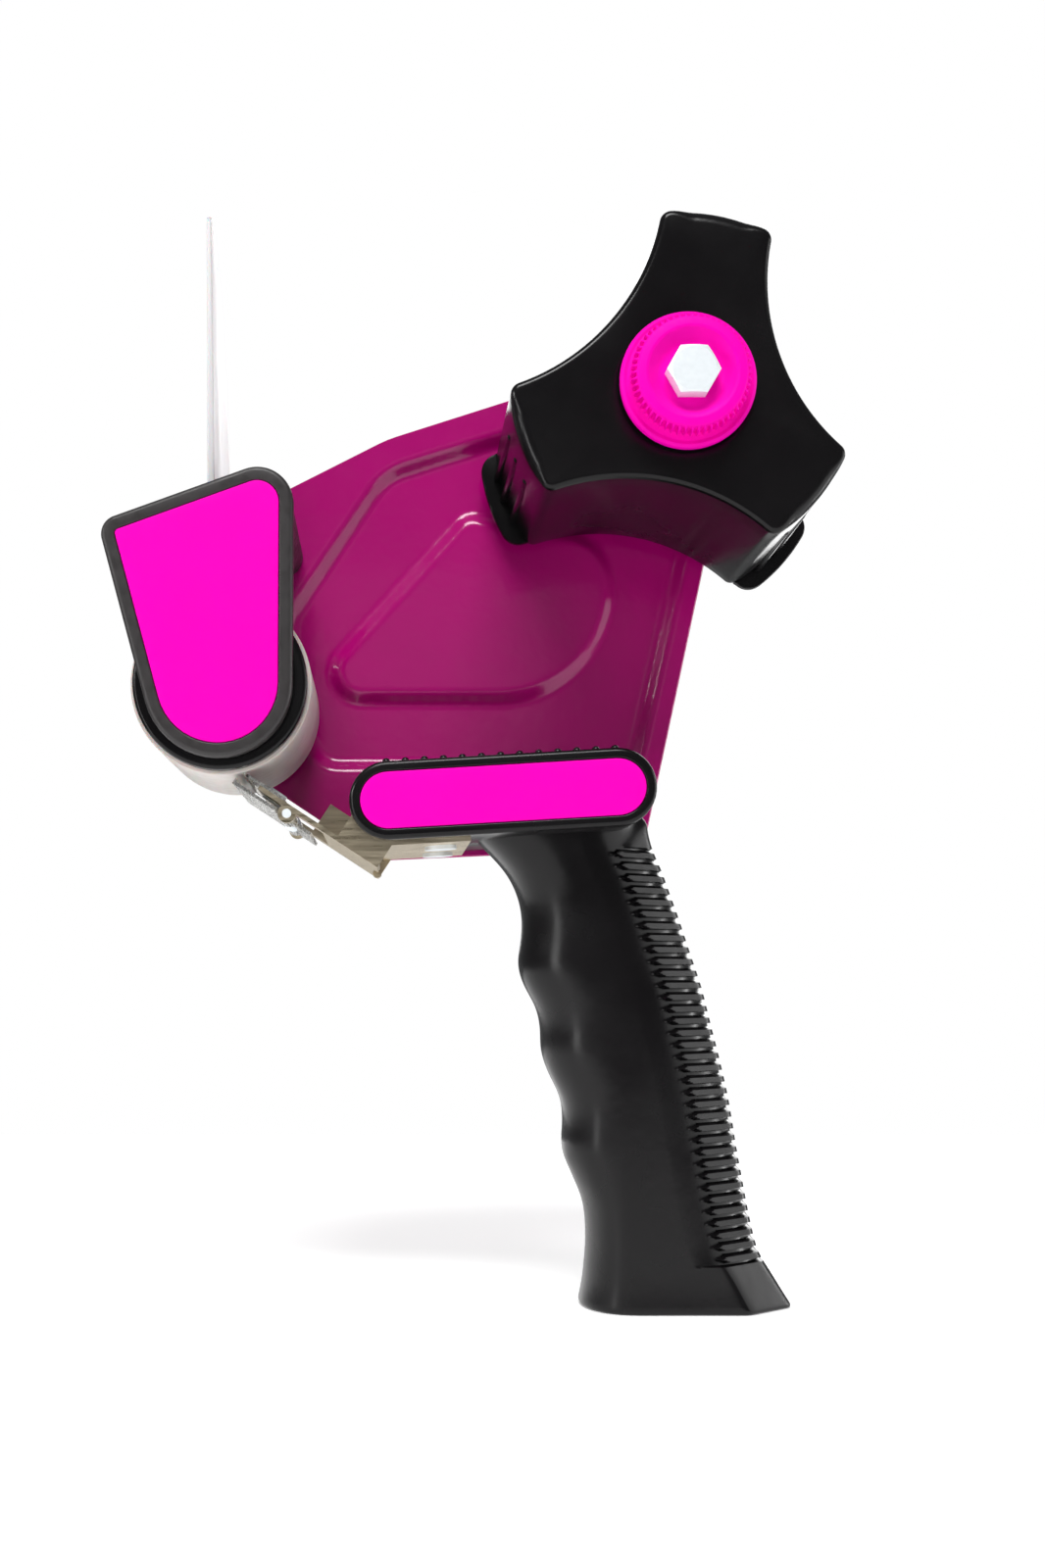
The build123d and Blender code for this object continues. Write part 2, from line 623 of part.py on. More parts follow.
def handle():
    """Both halves of the moulded handle, split in the tape's mid-plane."""
    outside = handle_outside()
    body = (outside - handle_hollow()) + [outside & boss for boss in handle_bosses()]
    body -= slab(platform_face(PLATFORM_RIM), PLATFORM_NEAR - 1, PLATFORM_NEAR + PLATFORM_POCKET)
    body -= knife_place(knife_box(24.9, 36.1, -1, 7.6, KNIFE_NEAR, KNIFE_NEAR + KNIFE_SHEET))
    body -= knife_place(knife_box(15.9, 36.1, -1, 9.1, PLATE_NEAR - KNIFE_SHEET, PLATE_NEAR + 1))
    for x, z in PLATE_SCREWS:
        body -= rod(x, z, 2.0, 14, 40)
    body -= shelf_holes(2.0, -1.0, 8.0)
    half = Box(200, 60, 200)
    near = body & (Pos(0, -30, -150) * half)
    far = body & (Pos(0, 30, -150) * half)
    for x, z in GRIP_SCREWS:
        near -= rod(x, z, 1.6, -11, 1)
        far -= rod(x, z, 1.6, -1, 40)
        far -= rod(x, z, 3.6, 8, 40)
    return near, far


def platform_insert():
    plate = slab(platform_face(PLATFORM_RIM + 0.1), PLATFORM_NEAR - 0.2, PLATFORM_NEAR + PLATFORM_POCKET)
    return chamfer(plate.faces().sort_by(Axis.Y)[0].edges(), 0.2)


def grip_screws():
    return Compound(children=[pan_screw(x, z, 1.6, 3.2, 8.0, -11.0, 2.0) for x, z in GRIP_SCREWS])


def plate_screws():
    return Compound(children=[pan_screw(x, z, 2.0, 3.8, PLATE_FAR, 14.5, 2.4) for x, z in PLATE_SCREWS])


def shelf_screws():
    shanks = shelf_holes(2.0, -KNIFE_SHEET, 7.5)
    heads = shelf_holes(3.6, -KNIFE_SHEET - 0.9, -KNIFE_SHEET)
    return Compound(children=[shank + head for shank, head in zip(shanks, heads)])


def main():
    os.makedirs("parts", exist_ok=True)
    near_half, far_half = handle()
    pieces = {
        "side_plate": side_plate(),
        "axle_nut": axle_nut(),
        "axle_sleeve": axle_sleeve(),
        "rear_washer": rear_washer(),
        "core_hub": hub(),
        "hub_bushing": hub_bushing(),
        "friction_disc": friction_disc(),
        "brake_washer": brake_washer(),
        "brake_spring": brake_spring(),
        "thrust_washer": thrust_washer(),
        "tension_knob": tension_knob(),
        "knob_bolt": knob_bolt(),
        "roller_drum": roller_drum(),
        "roller_cap_near": roller_cap(ROLLER_NEAR, 1),
        "roller_cap_far": roller_cap(ROLLER_FAR, -1),
        "roller_axle": roller_axle(),
        "roller_nut": roller_nut(),
        "front_cheek": front_cheek(),
        "cheek_insert": cheek_insert(),
        "spacer_post": spacer_post(),
        "post_screw": post_screw(),
        "flap_rod": flap_rod(),
        "tape_flap": flap(),
        "knife_bracket": knife_bracket(),
        "blade": blade(),
        "blade_rivets": blade_rivets(),
        "blade_guard": blade_guard(),
        "guard_pin": guard_pin(),
        "guard_spring": guard_spring(),
        "handle_near_half": near_half,
        "handle_far_half": far_half,
        "platform_insert": platform_insert(),
        "grip_screws": grip_screws(),
        "plate_screws": plate_screws(),
        "shelf_screws": shelf_screws(),
    }
    for name, shape in pieces.items():
        save(shape, name)


main()
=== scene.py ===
"""Looks of the hand-held tape gun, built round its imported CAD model.

Shapes are drawn in millimetres in the part's own frame: x runs from roller to core, y from the open
side to the side plate, z from handle to core. They become metres when a piece's mesh is made.
"""
from math import acos, asin, atan2, ceil, cos, degrees, hypot, pi, radians, sin, tan

import bmesh
import bpy
import numpy as np
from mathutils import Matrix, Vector
from mathutils.geometry import delaunay_2d_cdt


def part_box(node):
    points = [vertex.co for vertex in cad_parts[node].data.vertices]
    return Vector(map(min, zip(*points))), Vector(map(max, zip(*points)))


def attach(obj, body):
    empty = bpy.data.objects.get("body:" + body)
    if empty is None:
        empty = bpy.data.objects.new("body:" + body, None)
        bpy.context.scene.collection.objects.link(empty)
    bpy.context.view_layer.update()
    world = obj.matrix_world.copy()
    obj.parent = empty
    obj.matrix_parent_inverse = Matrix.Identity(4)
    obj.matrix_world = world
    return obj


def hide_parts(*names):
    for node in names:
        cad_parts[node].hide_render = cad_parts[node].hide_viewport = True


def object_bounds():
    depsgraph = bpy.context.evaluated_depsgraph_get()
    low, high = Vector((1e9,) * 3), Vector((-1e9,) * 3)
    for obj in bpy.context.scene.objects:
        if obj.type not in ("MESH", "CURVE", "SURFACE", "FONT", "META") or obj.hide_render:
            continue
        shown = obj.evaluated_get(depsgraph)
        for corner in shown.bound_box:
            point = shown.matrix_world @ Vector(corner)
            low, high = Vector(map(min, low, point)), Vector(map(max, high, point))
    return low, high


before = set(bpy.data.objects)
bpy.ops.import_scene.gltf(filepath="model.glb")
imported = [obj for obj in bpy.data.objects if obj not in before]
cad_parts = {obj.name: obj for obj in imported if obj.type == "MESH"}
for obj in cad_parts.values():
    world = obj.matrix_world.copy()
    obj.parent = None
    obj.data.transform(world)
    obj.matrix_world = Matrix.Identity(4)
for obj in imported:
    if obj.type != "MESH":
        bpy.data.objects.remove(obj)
CAD_LOW, CAD_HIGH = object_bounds()
MM = 0.001


def span(node):
    """Lowest and highest corner of a CAD node, in millimetres."""
    low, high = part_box(node)
    return np.array(low) / MM, np.array(high) / MM


def centre_of(node):
    """Middle of a CAD node in x and z, in millimetres."""
    low, high = span(node)
    middle = (low + high) / 2
    return middle[0], middle[2]


# ---------------------------------------------------------------- measures from the frame, millimetres
PLATE_NEAR = span("side_plate")[0][1]
HUB_NEAR, HUB_BACK = span("core_hub")[0][1], span("core_hub")[1][1]
LIP_R = span("core_hub")[1][2]
KNOB_FRONT, KNOB_BACK = span("tension_knob")[0][1], span("tension_knob")[1][1]
KNOB_FLANGE_R = span("tension_knob")[1][0]
ROLLER_X, ROLLER_Z = centre_of("roller_drum")
DRUM_R = span("roller_drum")[1][0] - ROLLER_X
CAP_R = span("roller_cap_near")[1][0] - ROLLER_X
CAP_NEAR, CAP_FAR = span("roller_cap_near")[0][1], span("roller_cap_far")[1][1]
DRUM_NEAR, DRUM_FAR = span("roller_drum")[0][1], span("roller_drum")[1][1]
CHEEK_FRONT, CHEEK_BACK = span("front_cheek")[0][1], span("front_cheek")[1][1]
PLATFORM_NEAR = span("handle_near_half")[0][1]
BUTT_Z = span("handle_near_half")[0][2]
FLAP_TOP = span("tape_flap")[1][2]
FLAP_NEAR, FLAP_END = span("tape_flap")[0][1], span("tape_flap")[1][1]
FLAP_X, FLAP_Z = centre_of("flap_rod")

# ---------------------------------------------------------------- the design's own outlines, millimetres
SHEET = 1.5
DISH_DEPTH = 2.5
ISLAND_RISE = 1.8
PLATE_CORNERS = (                        # x, z and radius of each corner, counter-clockwise
    (-1.6, -97.5, 4.0),
    (26.2, 33.0, 21.0),
    (-65.1, 3.9, 30.0),
    (-112.0, -19.8, 8.0),
    (-115.0, -60.0, 12.0),
    (-106.0, -74.4, 6.0),
    (-66.8, -100.4, 3.0),
)
DISH_CORNERS = (
    (-2.6, -78.2, 6.0),
    (20.4, 23.7, 16.0),
    (-66.5, -3.6, 16.0),
    (-90.5, -39.5, 8.0),
    (-91.0, -62.5, 6.0),
    (-82.0, -78.2, 9.0),
)
ISLAND_CORNERS = (
    (-8.5, -61.5, 29.0),
    (-8.5, -20.5, 13.5),
    (-45.8, -13.2, 6.0),
    (-89.4, -61.5, 8.0),
)
CREASE_FROM, CREASE_TO = -0.6, 3.4       # where the wall of a pressing starts and ends, inside its outline
AXLE_HOLE_R = 3.06
AXLE_BOSS_R = 13.0
DRUM_BORE_R = 17.1

ARM_ANGLES = (79.0, 199.0, 319.0)        # degrees
ARM_TIP_R = 38.2
SCALLOP_R = 47.7                         # concave flank between two arms
SCALLOP_AT = 69.4                        # distance of its centre from the axle
HUB_WALL = 2.2
LIP_NEAR, LIP_FAR = 22.0, 24.0
POCKET_R, POCKET_FLOOR = 12.5, -20.0
BOSS_R, BUSH_R = 9.5, 7.0

KNOB_RING_R = 12.9
KNOB_RECESS_R = 9.5
KNOB_TEETH = 56
KNOB_HOLE_R = 2.95
HEAD_SEAT = -32.8

CHEEK_CIRCLES = (                        # x, z and radius of the corner arcs, counter-clockwise
    (-122.7, -33.5, 4.1),
    (-101.7, -65.5, 16.2),
    (-93.1, -26.8, 7.8),
)
CHEEK_RIM, CHEEK_POCKET = 3.0, 1.6

PLATFORM_LEFT = (-64.8, -90.6)
PLATFORM_RIGHT = (-14.9, -87.7)
PLATFORM_R, PLATFORM_RIM, PLATFORM_POCKET = 8.6, 2.3, 1.4
PLATFORM_CIRCLES = ((*PLATFORM_LEFT, PLATFORM_R), (*PLATFORM_RIGHT, PLATFORM_R))
RIDGES, RIDGE_R = 13, 0.9
RIDGE_END = 0.9                          # how far a ridge stays clear of the seam

RIB_COUNT, RIB_PITCH, RIB_TOP, RIB_THICK = 35, 2.684, -101.4, 1.65
GRIP = (                                 # height, front edge, back edge and half depth of level sections
    (-90.0, -46.6, -7.5, 16.5),
    (-92.0, -46.4, -6.5, 16.4),
    (-97.0, -45.0, -5.7, 16.2),
    (-100.5, -41.4, -4.6, 15.8),
    (-104.5, -37.8, -2.8, 15.4),
    (-109.5, -35.1, -1.0, 15.0),
    (-115.0, -33.8, 1.0, 15.0),
    (-120.5, -34.0, 2.8, 15.0),
    (-126.5, -34.7, 4.8, 15.0),
    (-131.0, -33.4, 6.3, 15.0),
    (-136.0, -30.6, 7.6, 15.0),
    (-141.0, -29.5, 8.8, 15.0),
    (-146.0, -29.4, 10.1, 15.0),
    (-151.5, -27.6, 11.4, 15.0),
    (-157.0, -24.9, 12.6, 15.0),
    (-163.0, -24.3, 13.6, 15.0),
    (-169.0, -24.6, 14.6, 15.0),
    (-175.0, -22.2, 15.7, 15.0),
    (-181.0, -19.7, 16.8, 15.0),
    (-188.0, -18.9, 18.3, 15.0),
    (-193.0, -19.0, 19.8, 15.0),
    (-196.0, -19.3, 21.8, 15.0),
    (-199.0, -19.6, 23.6, 15.1),
    (-205.0, -20.8, 27.4, 15.6),
)
GRIP_SIDE = (                            # height and x where the finger side meets the flat side
    (-90.0, -32.0),
    (-104.0, -24.0),
    (-205.0, -7.9),
)
GRIP_SKIN = 0.6                          # how far the finished back stands out of those sections
GRIP_BACK = 13.5                         # centre of the back's curve and facets, before the back edge
GRIP_SHOULDER = 17.5                     # where the flat side begins, before the back edge
GRIP_FACET_ANGLE, GRIP_FACET_AT = 49.0, 13.2
RIB_LENGTH = 10.7
GRIP_SCREWS = ((-17.0, -111.0), (-7.0, -151.0), (1.0, -190.0))


# ---------------------------------------------------------------- outlines
def unit(vector):
    return vector / np.linalg.norm(vector)


def unit_rows(rows):
    return rows / np.maximum(np.linalg.norm(rows, axis=1), 1e-9)[:, None]


def rounded(corners, arc_step=6.0, closed=True):
    """Points of an outline with (x, z, radius) corners; an arc is cut into steps of arc_step degrees."""
    points = []
    last = len(corners) - 1
    for index, (x, z, radius) in enumerate(corners):
        here = np.array((x, z), float)
        if not radius or (not closed and index in (0, last)):
            points.append(here)
            continue
        before = unit(np.array(corners[index - 1][:2]) - here)
        after = unit(np.array(corners[(index + 1) % len(corners)][:2]) - here)
        half = acos(np.clip(before @ after, -1, 1)) / 2
        centre = here + unit(before + after) * radius / sin(half)
        spoke = here + before * radius / tan(half) - centre
        end = here + after * radius / tan(half) - centre
        turn = pi - 2 * half
        if spoke[0] * end[1] - spoke[1] * end[0] < 0:
            turn = -turn
        steps = max(2, ceil(abs(degrees(turn)) / arc_step))
        for step in range(steps + 1):
            angle = turn * step / steps
            c, s = cos(angle), sin(angle)
            points.append(centre + (c * spoke[0] - s * spoke[1], s * spoke[0] + c * spoke[1]))
    return np.array(points)


def belt(circles, inset=0.0, steps=20):
    """Outline of a band stretched round counter-clockwise (x, z, radius) circles, drawn in by inset."""
    def facing(a, b):
        apart = hypot(b[0] - a[0], b[1] - a[1])
        return atan2(b[1] - a[1], b[0] - a[0]) - acos((a[2] - b[2]) / apart)

    points = []
    for index, (x, z, radius) in enumerate(circles):
        start = facing(circles[index - 1], circles[index])
        end = facing(circles[index], circles[(index + 1) % len(circles)])
        turn = (end - start) % (2 * pi)
        for step in range(steps + 1):
            angle = start + turn * step / steps
            reach = max(radius - inset, 0.4)
            points.append((x + reach * cos(angle), z + reach * sin(angle)))
    return np.array(points)


def resampled(outline, step):
    """The same closed outline with its long edges cut into steps."""
    points = []
    for a, b in zip(outline, np.roll(outline, -1, axis=0)):
        count = max(1, ceil(np.linalg.norm(b - a) / step))
        points += [a + (b - a) * share / count for share in range(count)]
    return np.array(points)


def outward(outline):
    """Outward normal at each point of a counter-clockwise closed outline."""
    along = np.roll(outline, -1, axis=0) - np.roll(outline, 1, axis=0)
    along /= np.linalg.norm(along, axis=1)[:, None]
    return np.stack((along[:, 1], -along[:, 0]), axis=1)


def signed_distance(points, outline):
    """Distance of each point from a closed outline, negative inside it."""
    best = np.full(len(points), np.inf)
    inside = np.zeros(len(points), bool)
    for a, b in zip(outline, np.roll(outline, -1, axis=0)):
        edge = b - a
        length2 = edge @ edge
        if length2 < 1e-12:
            continue
        share = np.clip((points - a) @ edge / length2, 0, 1)
        gap = points - a - share[:, None] * edge
        best = np.minimum(best, np.hypot(gap[:, 0], gap[:, 1]))
        crosses = (a[1] > points[:, 1]) != (b[1] > points[:, 1])
        if crosses.any():
            at = a[0] + (points[:, 1] - a[1]) * edge[0] / (edge[1] or 1e-12)
            inside ^= crosses & (points[:, 0] < at)
    return np.where(inside, -best, best)


def eased(value, low, high):
    """0 below low, 1 above high, and a smooth climb between."""
    share = np.clip((value - low) / (high - low), 0, 1)
    return share * share * (3 - 2 * share)


def curve_through(rows, at):
    """Smooth curve through rows of (height, values...), read at one height."""
    table = np.array(sorted(rows), float)
    heights, values = table[:, 0], table[:, 1:]
    slopes = np.gradient(values, heights, axis=0)
    index = int(np.clip(np.searchsorted(heights, at) - 1, 0, len(heights) - 2))
    width = heights[index + 1] - heights[index]
    t = (at - heights[index]) / width
    return ((2 * t**3 - 3 * t**2 + 1) * values[index] + (t**3 - 2 * t**2 + t) * width * slopes[index]
            + (3 * t**2 - 2 * t**3) * values[index + 1] + (t**3 - t**2) * width * slopes[index + 1])


def smoothed(rows, spread, step=0.5):
    """Rows of (height, values...) on even heights, averaged over a bell of the given spread."""
    ordered = sorted(rows)
    heights = np.arange(ordered[0][0], ordered[-1][0] + step, step)
    heights = np.minimum(heights, ordered[-1][0])
    values = np.array([curve_through(rows, z) for z in heights])
    reach = int(3 * spread / step)
    bell = np.exp(-0.5 * (np.arange(-reach, reach + 1) * step / spread) ** 2)
    padded = np.pad(values, ((reach, reach), (0, 0)), mode="reflect", reflect_type="odd")
    columns = [np.convolve(column, bell / bell.sum(), "valid") for column in padded.T]
    return heights, np.array(columns)


# ---------------------------------------------------------------- meshes
class Shape:
    """Vertices and faces gathered from several closed volumes, in millimetres."""

    def __init__(self):
        self.verts = []
        self.faces = []

    def add(self, verts, faces):
        start = len(self.verts)
        self.verts += [tuple(v) for v in verts]
        self.faces += [tuple(start + i for i in face) for face in faces]
        return self

    def rings(self, rings, closed=False):
        """A tube through rings of equally many points. Its ends are capped unless it closes on itself."""
        count = len(rings[0])
        pairs = list(zip(range(len(rings) - 1), range(1, len(rings))))
        if closed:
            pairs.append((len(rings) - 1, 0))
        faces = []
        for a, b in pairs:
            for i in range(count):
                j = (i + 1) % count
                faces.append((a * count + i, a * count + j, b * count + j, b * count + i))
        if not closed:
            faces.append(tuple(reversed(range(count))))
            faces.append(tuple((len(rings) - 1) * count + i for i in range(count)))
        return self.add(np.concatenate(rings), faces)


def ring_at(outline, y):
    """A ring of x, z points stood at depth y, which may differ from point to point."""
    depth = np.broadcast_to(np.asarray(y, float), (len(outline),))
    return np.stack((outline[:, 0], depth, outline[:, 1]), axis=1)


def circle(x, z, radius, count=96, turn=0.0):
    angles = turn + 2 * pi * np.arange(count) / count
    return np.stack((x + radius * np.cos(angles), z + radius * np.sin(angles)), axis=1)


def turned(shape, profile, x=0.0, z=0.0, closed=False, count=96):
    """A turned volume about a y axis from its (radius, y) profile."""
    rings = [ring_at(circle(x, z, radius, count), y) for radius, y in profile]
    return shape.rings(rings, closed)


def belted(shape, circles, profile):
    """A volume whose outline is a belt round circles, from its (inset, y) profile."""
    return shape.rings([ring_at(belt(circles, inset), y) for inset, y in profile])


def pressed_out(shape, outline, near, far, edge):
    """A flat plate of some outline with softened edges."""
    normals = outward(outline)
    profile = rounded(((edge * 4, near, 0), (0, near, edge), (0, far, edge), (edge * 4, far, 0)), 30, False)
    rings = [ring_at(outline - normals * inset, y) for inset, y in profile[1:-1]]
    return shape.rings(rings)


def capsule(shape, start, end, radius, count=12):
    """A rod with half-round ends between two points."""
    start, end = np.array(start, float), np.array(end, float)
    along = unit(end - start)
    side = unit(np.cross(along, (0.3, 0.1, 0.9)))
    up = np.cross(along, side)
    angles = 2 * pi * np.arange(count) / count
    spokes = np.cos(angles)[:, None] * side + np.sin(angles)[:, None] * up
    leans = [radians(lean) for lean in np.linspace(5, 90, 5)]
    rings = [start - along * radius * cos(lean) + radius * sin(lean) * spokes for lean in leans]
    rings += [end + along * radius * cos(lean) + radius * sin(lean) * spokes for lean in leans[::-1]]
    return shape.rings(rings)


def cut_away(obj, shape):
    """Cuts a shape out of an object's mesh for good."""
    tool = new_object("cutter", shape)
    change = obj.modifiers.new("cut", "BOOLEAN")
    change.object = tool
    change.operation = "DIFFERENCE"
    change.solver = "EXACT"
    bpy.context.view_layer.update()
    made = bpy.data.meshes.new_from_object(obj.evaluated_get(bpy.context.evaluated_depsgraph_get()))
    obj.modifiers.clear()
    obj.data = made
    bpy.data.objects.remove(tool)


def add_mesh(obj, shape):
    """Adds a shape's volumes to an object's mesh."""
    extra = new_object("extra", shape)
    form = bmesh.new()
    form.from_mesh(obj.data)
    form.from_mesh(extra.data)
    form.to_mesh(obj.data)
    form.free()
    bpy.data.objects.remove(extra)


def new_object(name, shape):
    mesh = bpy.data.meshes.new(name)
    mesh.from_pydata([(x * MM, y * MM, z * MM) for x, y, z in shape.verts], [], shape.faces)
    mesh.validate()
    obj = bpy.data.objects.new(name, mesh)
    bpy.context.scene.collection.objects.link(obj)
    face_out(mesh)
    return obj


def face_out(mesh):
    """Turns every face outwards, each closed volume on its own."""
    form = bmesh.new()
    form.from_mesh(mesh)
    bmesh.ops.recalc_face_normals(form, faces=form.faces)
    form.to_mesh(mesh)
    form.free()


def finish_piece(obj, body, slot, nodes, crease=35.0):
    """Shades a piece, gives it its material and ties it to its body."""
    mesh = obj.data
    mesh.shade_smooth()
    mesh.set_sharp_from_angle(angle=radians(crease))
    mesh.materials.clear()
    mesh.materials.append(LOOKS[slot])
    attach(obj, body)
    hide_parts(*nodes)
    return obj


def piece(name, shape, body, slot, nodes, crease=35.0):
    return finish_piece(new_object(name, shape), body, slot, nodes, crease)


# ---------------------------------------------------------------- materials
class Look:
    """A material with short ways to add its textures, which are laid out in the part's own metres."""

    def __init__(self, name, colour, roughness, metallic=0.0):
        self.material = bpy.data.materials.new(name)
        self.material.use_nodes = True
        self.nodes = self.material.node_tree.nodes
        self.links = self.material.node_tree.links
        self.shader = self.nodes["Principled BSDF"]
        self.colour = colour
        self.set("Base Color", (*colour, 1))
        self.set("Roughness", roughness)
        self.set("Metallic", metallic)
        self.place = self.nodes.new("ShaderNodeTexCoord").outputs["Object"]
        self.normal = None

    def set(self, socket, value):
        self.shader.inputs[socket].default_value = value

    def noise(self, per_metre, detail=3.0, stretch=(1, 1, 1), turn=(0, 0, 0)):
        layout = self.nodes.new("ShaderNodeMapping")
        layout.inputs["Scale"].default_value = stretch
        layout.inputs["Rotation"].default_value = turn
        self.links.new(self.place, layout.inputs["Vector"])
        noise = self.nodes.new("ShaderNodeTexNoise")
        noise.inputs["Scale"].default_value = per_metre
        noise.inputs["Detail"].default_value = detail
        self.links.new(layout.outputs["Vector"], noise.inputs["Vector"])
        return noise.outputs["Fac"]

    def ranged(self, value, start, end, low, high):
        """value from start..end mapped to low..high."""
        change = self.nodes.new("ShaderNodeMapRange")
        change.inputs["From Min"].default_value = start
        change.inputs["From Max"].default_value = end
        change.inputs["To Min"].default_value = low
        change.inputs["To Max"].default_value = high
        self.links.new(value, change.inputs["Value"])
        return change.outputs["Result"]

    def colours(self, factor, first, second):
        mix = self.nodes.new("ShaderNodeMix")
        mix.data_type = "RGBA"
        mix.inputs["A"].default_value = (*first, 1)
        mix.inputs["B"].default_value = (*second, 1)
        self.links.new(factor, mix.inputs["Factor"])
        self.links.new(mix.outputs["Result"], self.shader.inputs["Base Color"])

    def roughen(self, factor, low, high, start=0.3, end=0.7):
        self.links.new(self.ranged(factor, start, end, low, high), self.shader.inputs["Roughness"])

    def bump(self, height, distance, strength=1.0):
        bump = self.nodes.new("ShaderNodeBump")
        bump.inputs["Distance"].default_value = distance
        bump.inputs["Strength"].default_value = strength
        self.links.new(height, bump.inputs["Height"])
        if self.normal is not None:
            self.links.new(self.normal, bump.inputs["Normal"])
        self.normal = bump.outputs["Normal"]
        self.links.new(self.normal, self.shader.inputs["Normal"])


def shade(colour, factor):
    return tuple(min(1.0, c * factor) for c in colour)


def plate_paint():
    """Gloss magenta powder coat with orange peel."""
    look = Look("plate_paint", (0.45, 0.001, 0.17), 0.2)
    look.set("Specular IOR Level", 0.35)
    look.set("Coat Weight", 0.25)
    look.set("Coat Roughness", 0.06)
    look.colours(look.noise(25, 4), shade(look.colour, 0.9), shade(look.colour, 1.1))
    look.roughen(look.noise(180, 4), 0.14, 0.24)
    look.bump(look.noise(420, 1), 0.00006)
    return look.material


def magenta_plastic():
    """Satin dyed plastic with a fine moulded grain."""
    look = Look("magenta_plastic", (1.0, 0.0, 0.47), 0.5)
    look.set("Specular IOR Level", 0.06)
    look.colours(look.noise(60, 4), shade(look.colour, 0.93), look.colour)
    look.roughen(look.noise(900, 3), 0.42, 0.6)
    look.bump(look.noise(5000, 2), 0.00001)
    return look.material


def black_gloss():
    """Polished black plastic with smears and hairline scratches."""
    look = Look("black_gloss", (0.004, 0.0035, 0.004), 0.2)
    look.set("Specular IOR Level", 0.27)
    smears = look.noise(45, 6, (1, 0.6, 1))
    scratches = look.noise(900, 2, (1, 0.05, 0.4), (0.3, 0.2, 0.6))
    look.colours(smears, (0.0025, 0.002, 0.0025), (0.006, 0.0055, 0.006))
    look.roughen(smears, 0.16, 0.30)
    look.bump(scratches, 0.000012, 0.6)
    look.bump(look.noise(260, 2), 0.00003)
    return look.material


def black_matte():
    """Black plastic with a spark-eroded grain."""
    look = Look("black_matte", (0.022, 0.019, 0.020), 0.42)
    look.colours(look.noise(120, 4), (0.018, 0.016, 0.016), (0.030, 0.026, 0.027))
    look.roughen(look.noise(500, 3), 0.34, 0.55)
    look.bump(look.noise(3500, 2), 0.00002)
    return look.material


def drum_plastic():
    """Milky polypropylene drum with drawn streaks along it."""
    look = Look("drum_plastic", (0.60, 0.55, 0.51), 0.4)
    look.set("Subsurface Weight", 0.3)
    look.set("Subsurface Scale", 0.003)
    streaks = look.noise(120, 5, (1, 0.06, 1))
    look.colours(streaks, (0.50, 0.45, 0.42), (0.68, 0.64, 0.61))
    look.roughen(look.noise(400, 3), 0.28, 0.5)
    look.bump(streaks, 0.00005)
    return look.material


def flap_plastic():
    """Translucent white plastic."""
    look = Look("flap_plastic", (0.66, 0.66, 0.67), 0.4)
    look.set("Subsurface Weight", 0.3)
    look.set("Subsurface Scale", 0.002)
    cloud = look.noise(80, 4, (1, 1, 0.3))
    look.colours(cloud, (0.58, 0.58, 0.60), (0.74, 0.74, 0.74))
    look.roughen(cloud, 0.3, 0.5)
    look.bump(look.noise(900, 2), 0.00001)
    return look.material


def zinc_steel():
    """Bright zinc plate with faint crystals and tool marks."""
    look = Look("zinc_steel", (0.84, 0.89, 0.92), 0.45, 0.35)
    grain = look.noise(900, 3)
    look.colours(grain, (0.80, 0.85, 0.88), (0.90, 0.95, 0.98))
    look.roughen(grain, 0.40, 0.52)
    look.bump(look.noise(2500, 3), 0.00001)
    return look.material


def knife_steel():
    """Brushed tinned steel, warmer than the zinc parts."""
    look = Look("knife_steel", (0.58, 0.49, 0.35), 0.35, 1.0)
    brushing = look.noise(1500, 4, (0.06, 1, 1), (0, radians(-33), 0))
    look.colours(brushing, (0.36, 0.28, 0.17), (0.80, 0.71, 0.54))
    look.roughen(brushing, 0.25, 0.45)
    look.bump(brushing, 0.000015)
    return look.material


def blade_steel():
    """Ground and polished blade steel."""
    look = Look("blade_steel", (0.78, 0.76, 0.72), 0.25, 1.0)
    grinding = look.noise(2200, 3, (1, 0.05, 1))
    look.colours(grinding, (0.66, 0.64, 0.60), (0.88, 0.86, 0.83))
    look.roughen(grinding, 0.18, 0.36)
    look.bump(grinding, 0.00001)
    return look.material


def fibre():
    """Brown vulcanised fibre washer."""
    look = Look("fibre", (0.26, 0.10, 0.06), 0.85)
    threads = look.noise(1200, 5, (1, 1, 0.2))
    look.colours(threads, (0.18, 0.07, 0.04), (0.34, 0.15, 0.09))
    look.roughen(threads, 0.75, 0.95)
    look.bump(threads, 0.00004)
    return look.material


MAKERS = (plate_paint, magenta_plastic, black_gloss, black_matte, drum_plastic, flap_plastic, zinc_steel,
          knife_steel, blade_steel, fibre)
LOOKS = {make.__name__: make() for make in MAKERS}


# ---------------------------------------------------------------- side plate
def pressed_depth(points):
    """How far the pressing sets the sheet back from its rim at each x, z point."""
    dish = eased(-signed_distance(points, rounded(DISH_CORNERS)), CREASE_FROM, CREASE_TO)
    island = eased(-signed_distance(points, rounded(ISLAND_CORNERS)), CREASE_FROM, CREASE_TO)
    from_axle = np.hypot(points[:, 0], points[:, 1])
    boss = 1 - eased(from_axle, AXLE_BOSS_R - 1.5, AXLE_BOSS_R + 1.0)
    return (DISH_DEPTH - ISLAND_RISE * island) * dish * (1 - boss)


def loop_edges(start, count):
    """Edges that join count points in a ring, the first of them numbered start."""
    return [(start + i, start + (i + 1) % count) for i in range(count)]


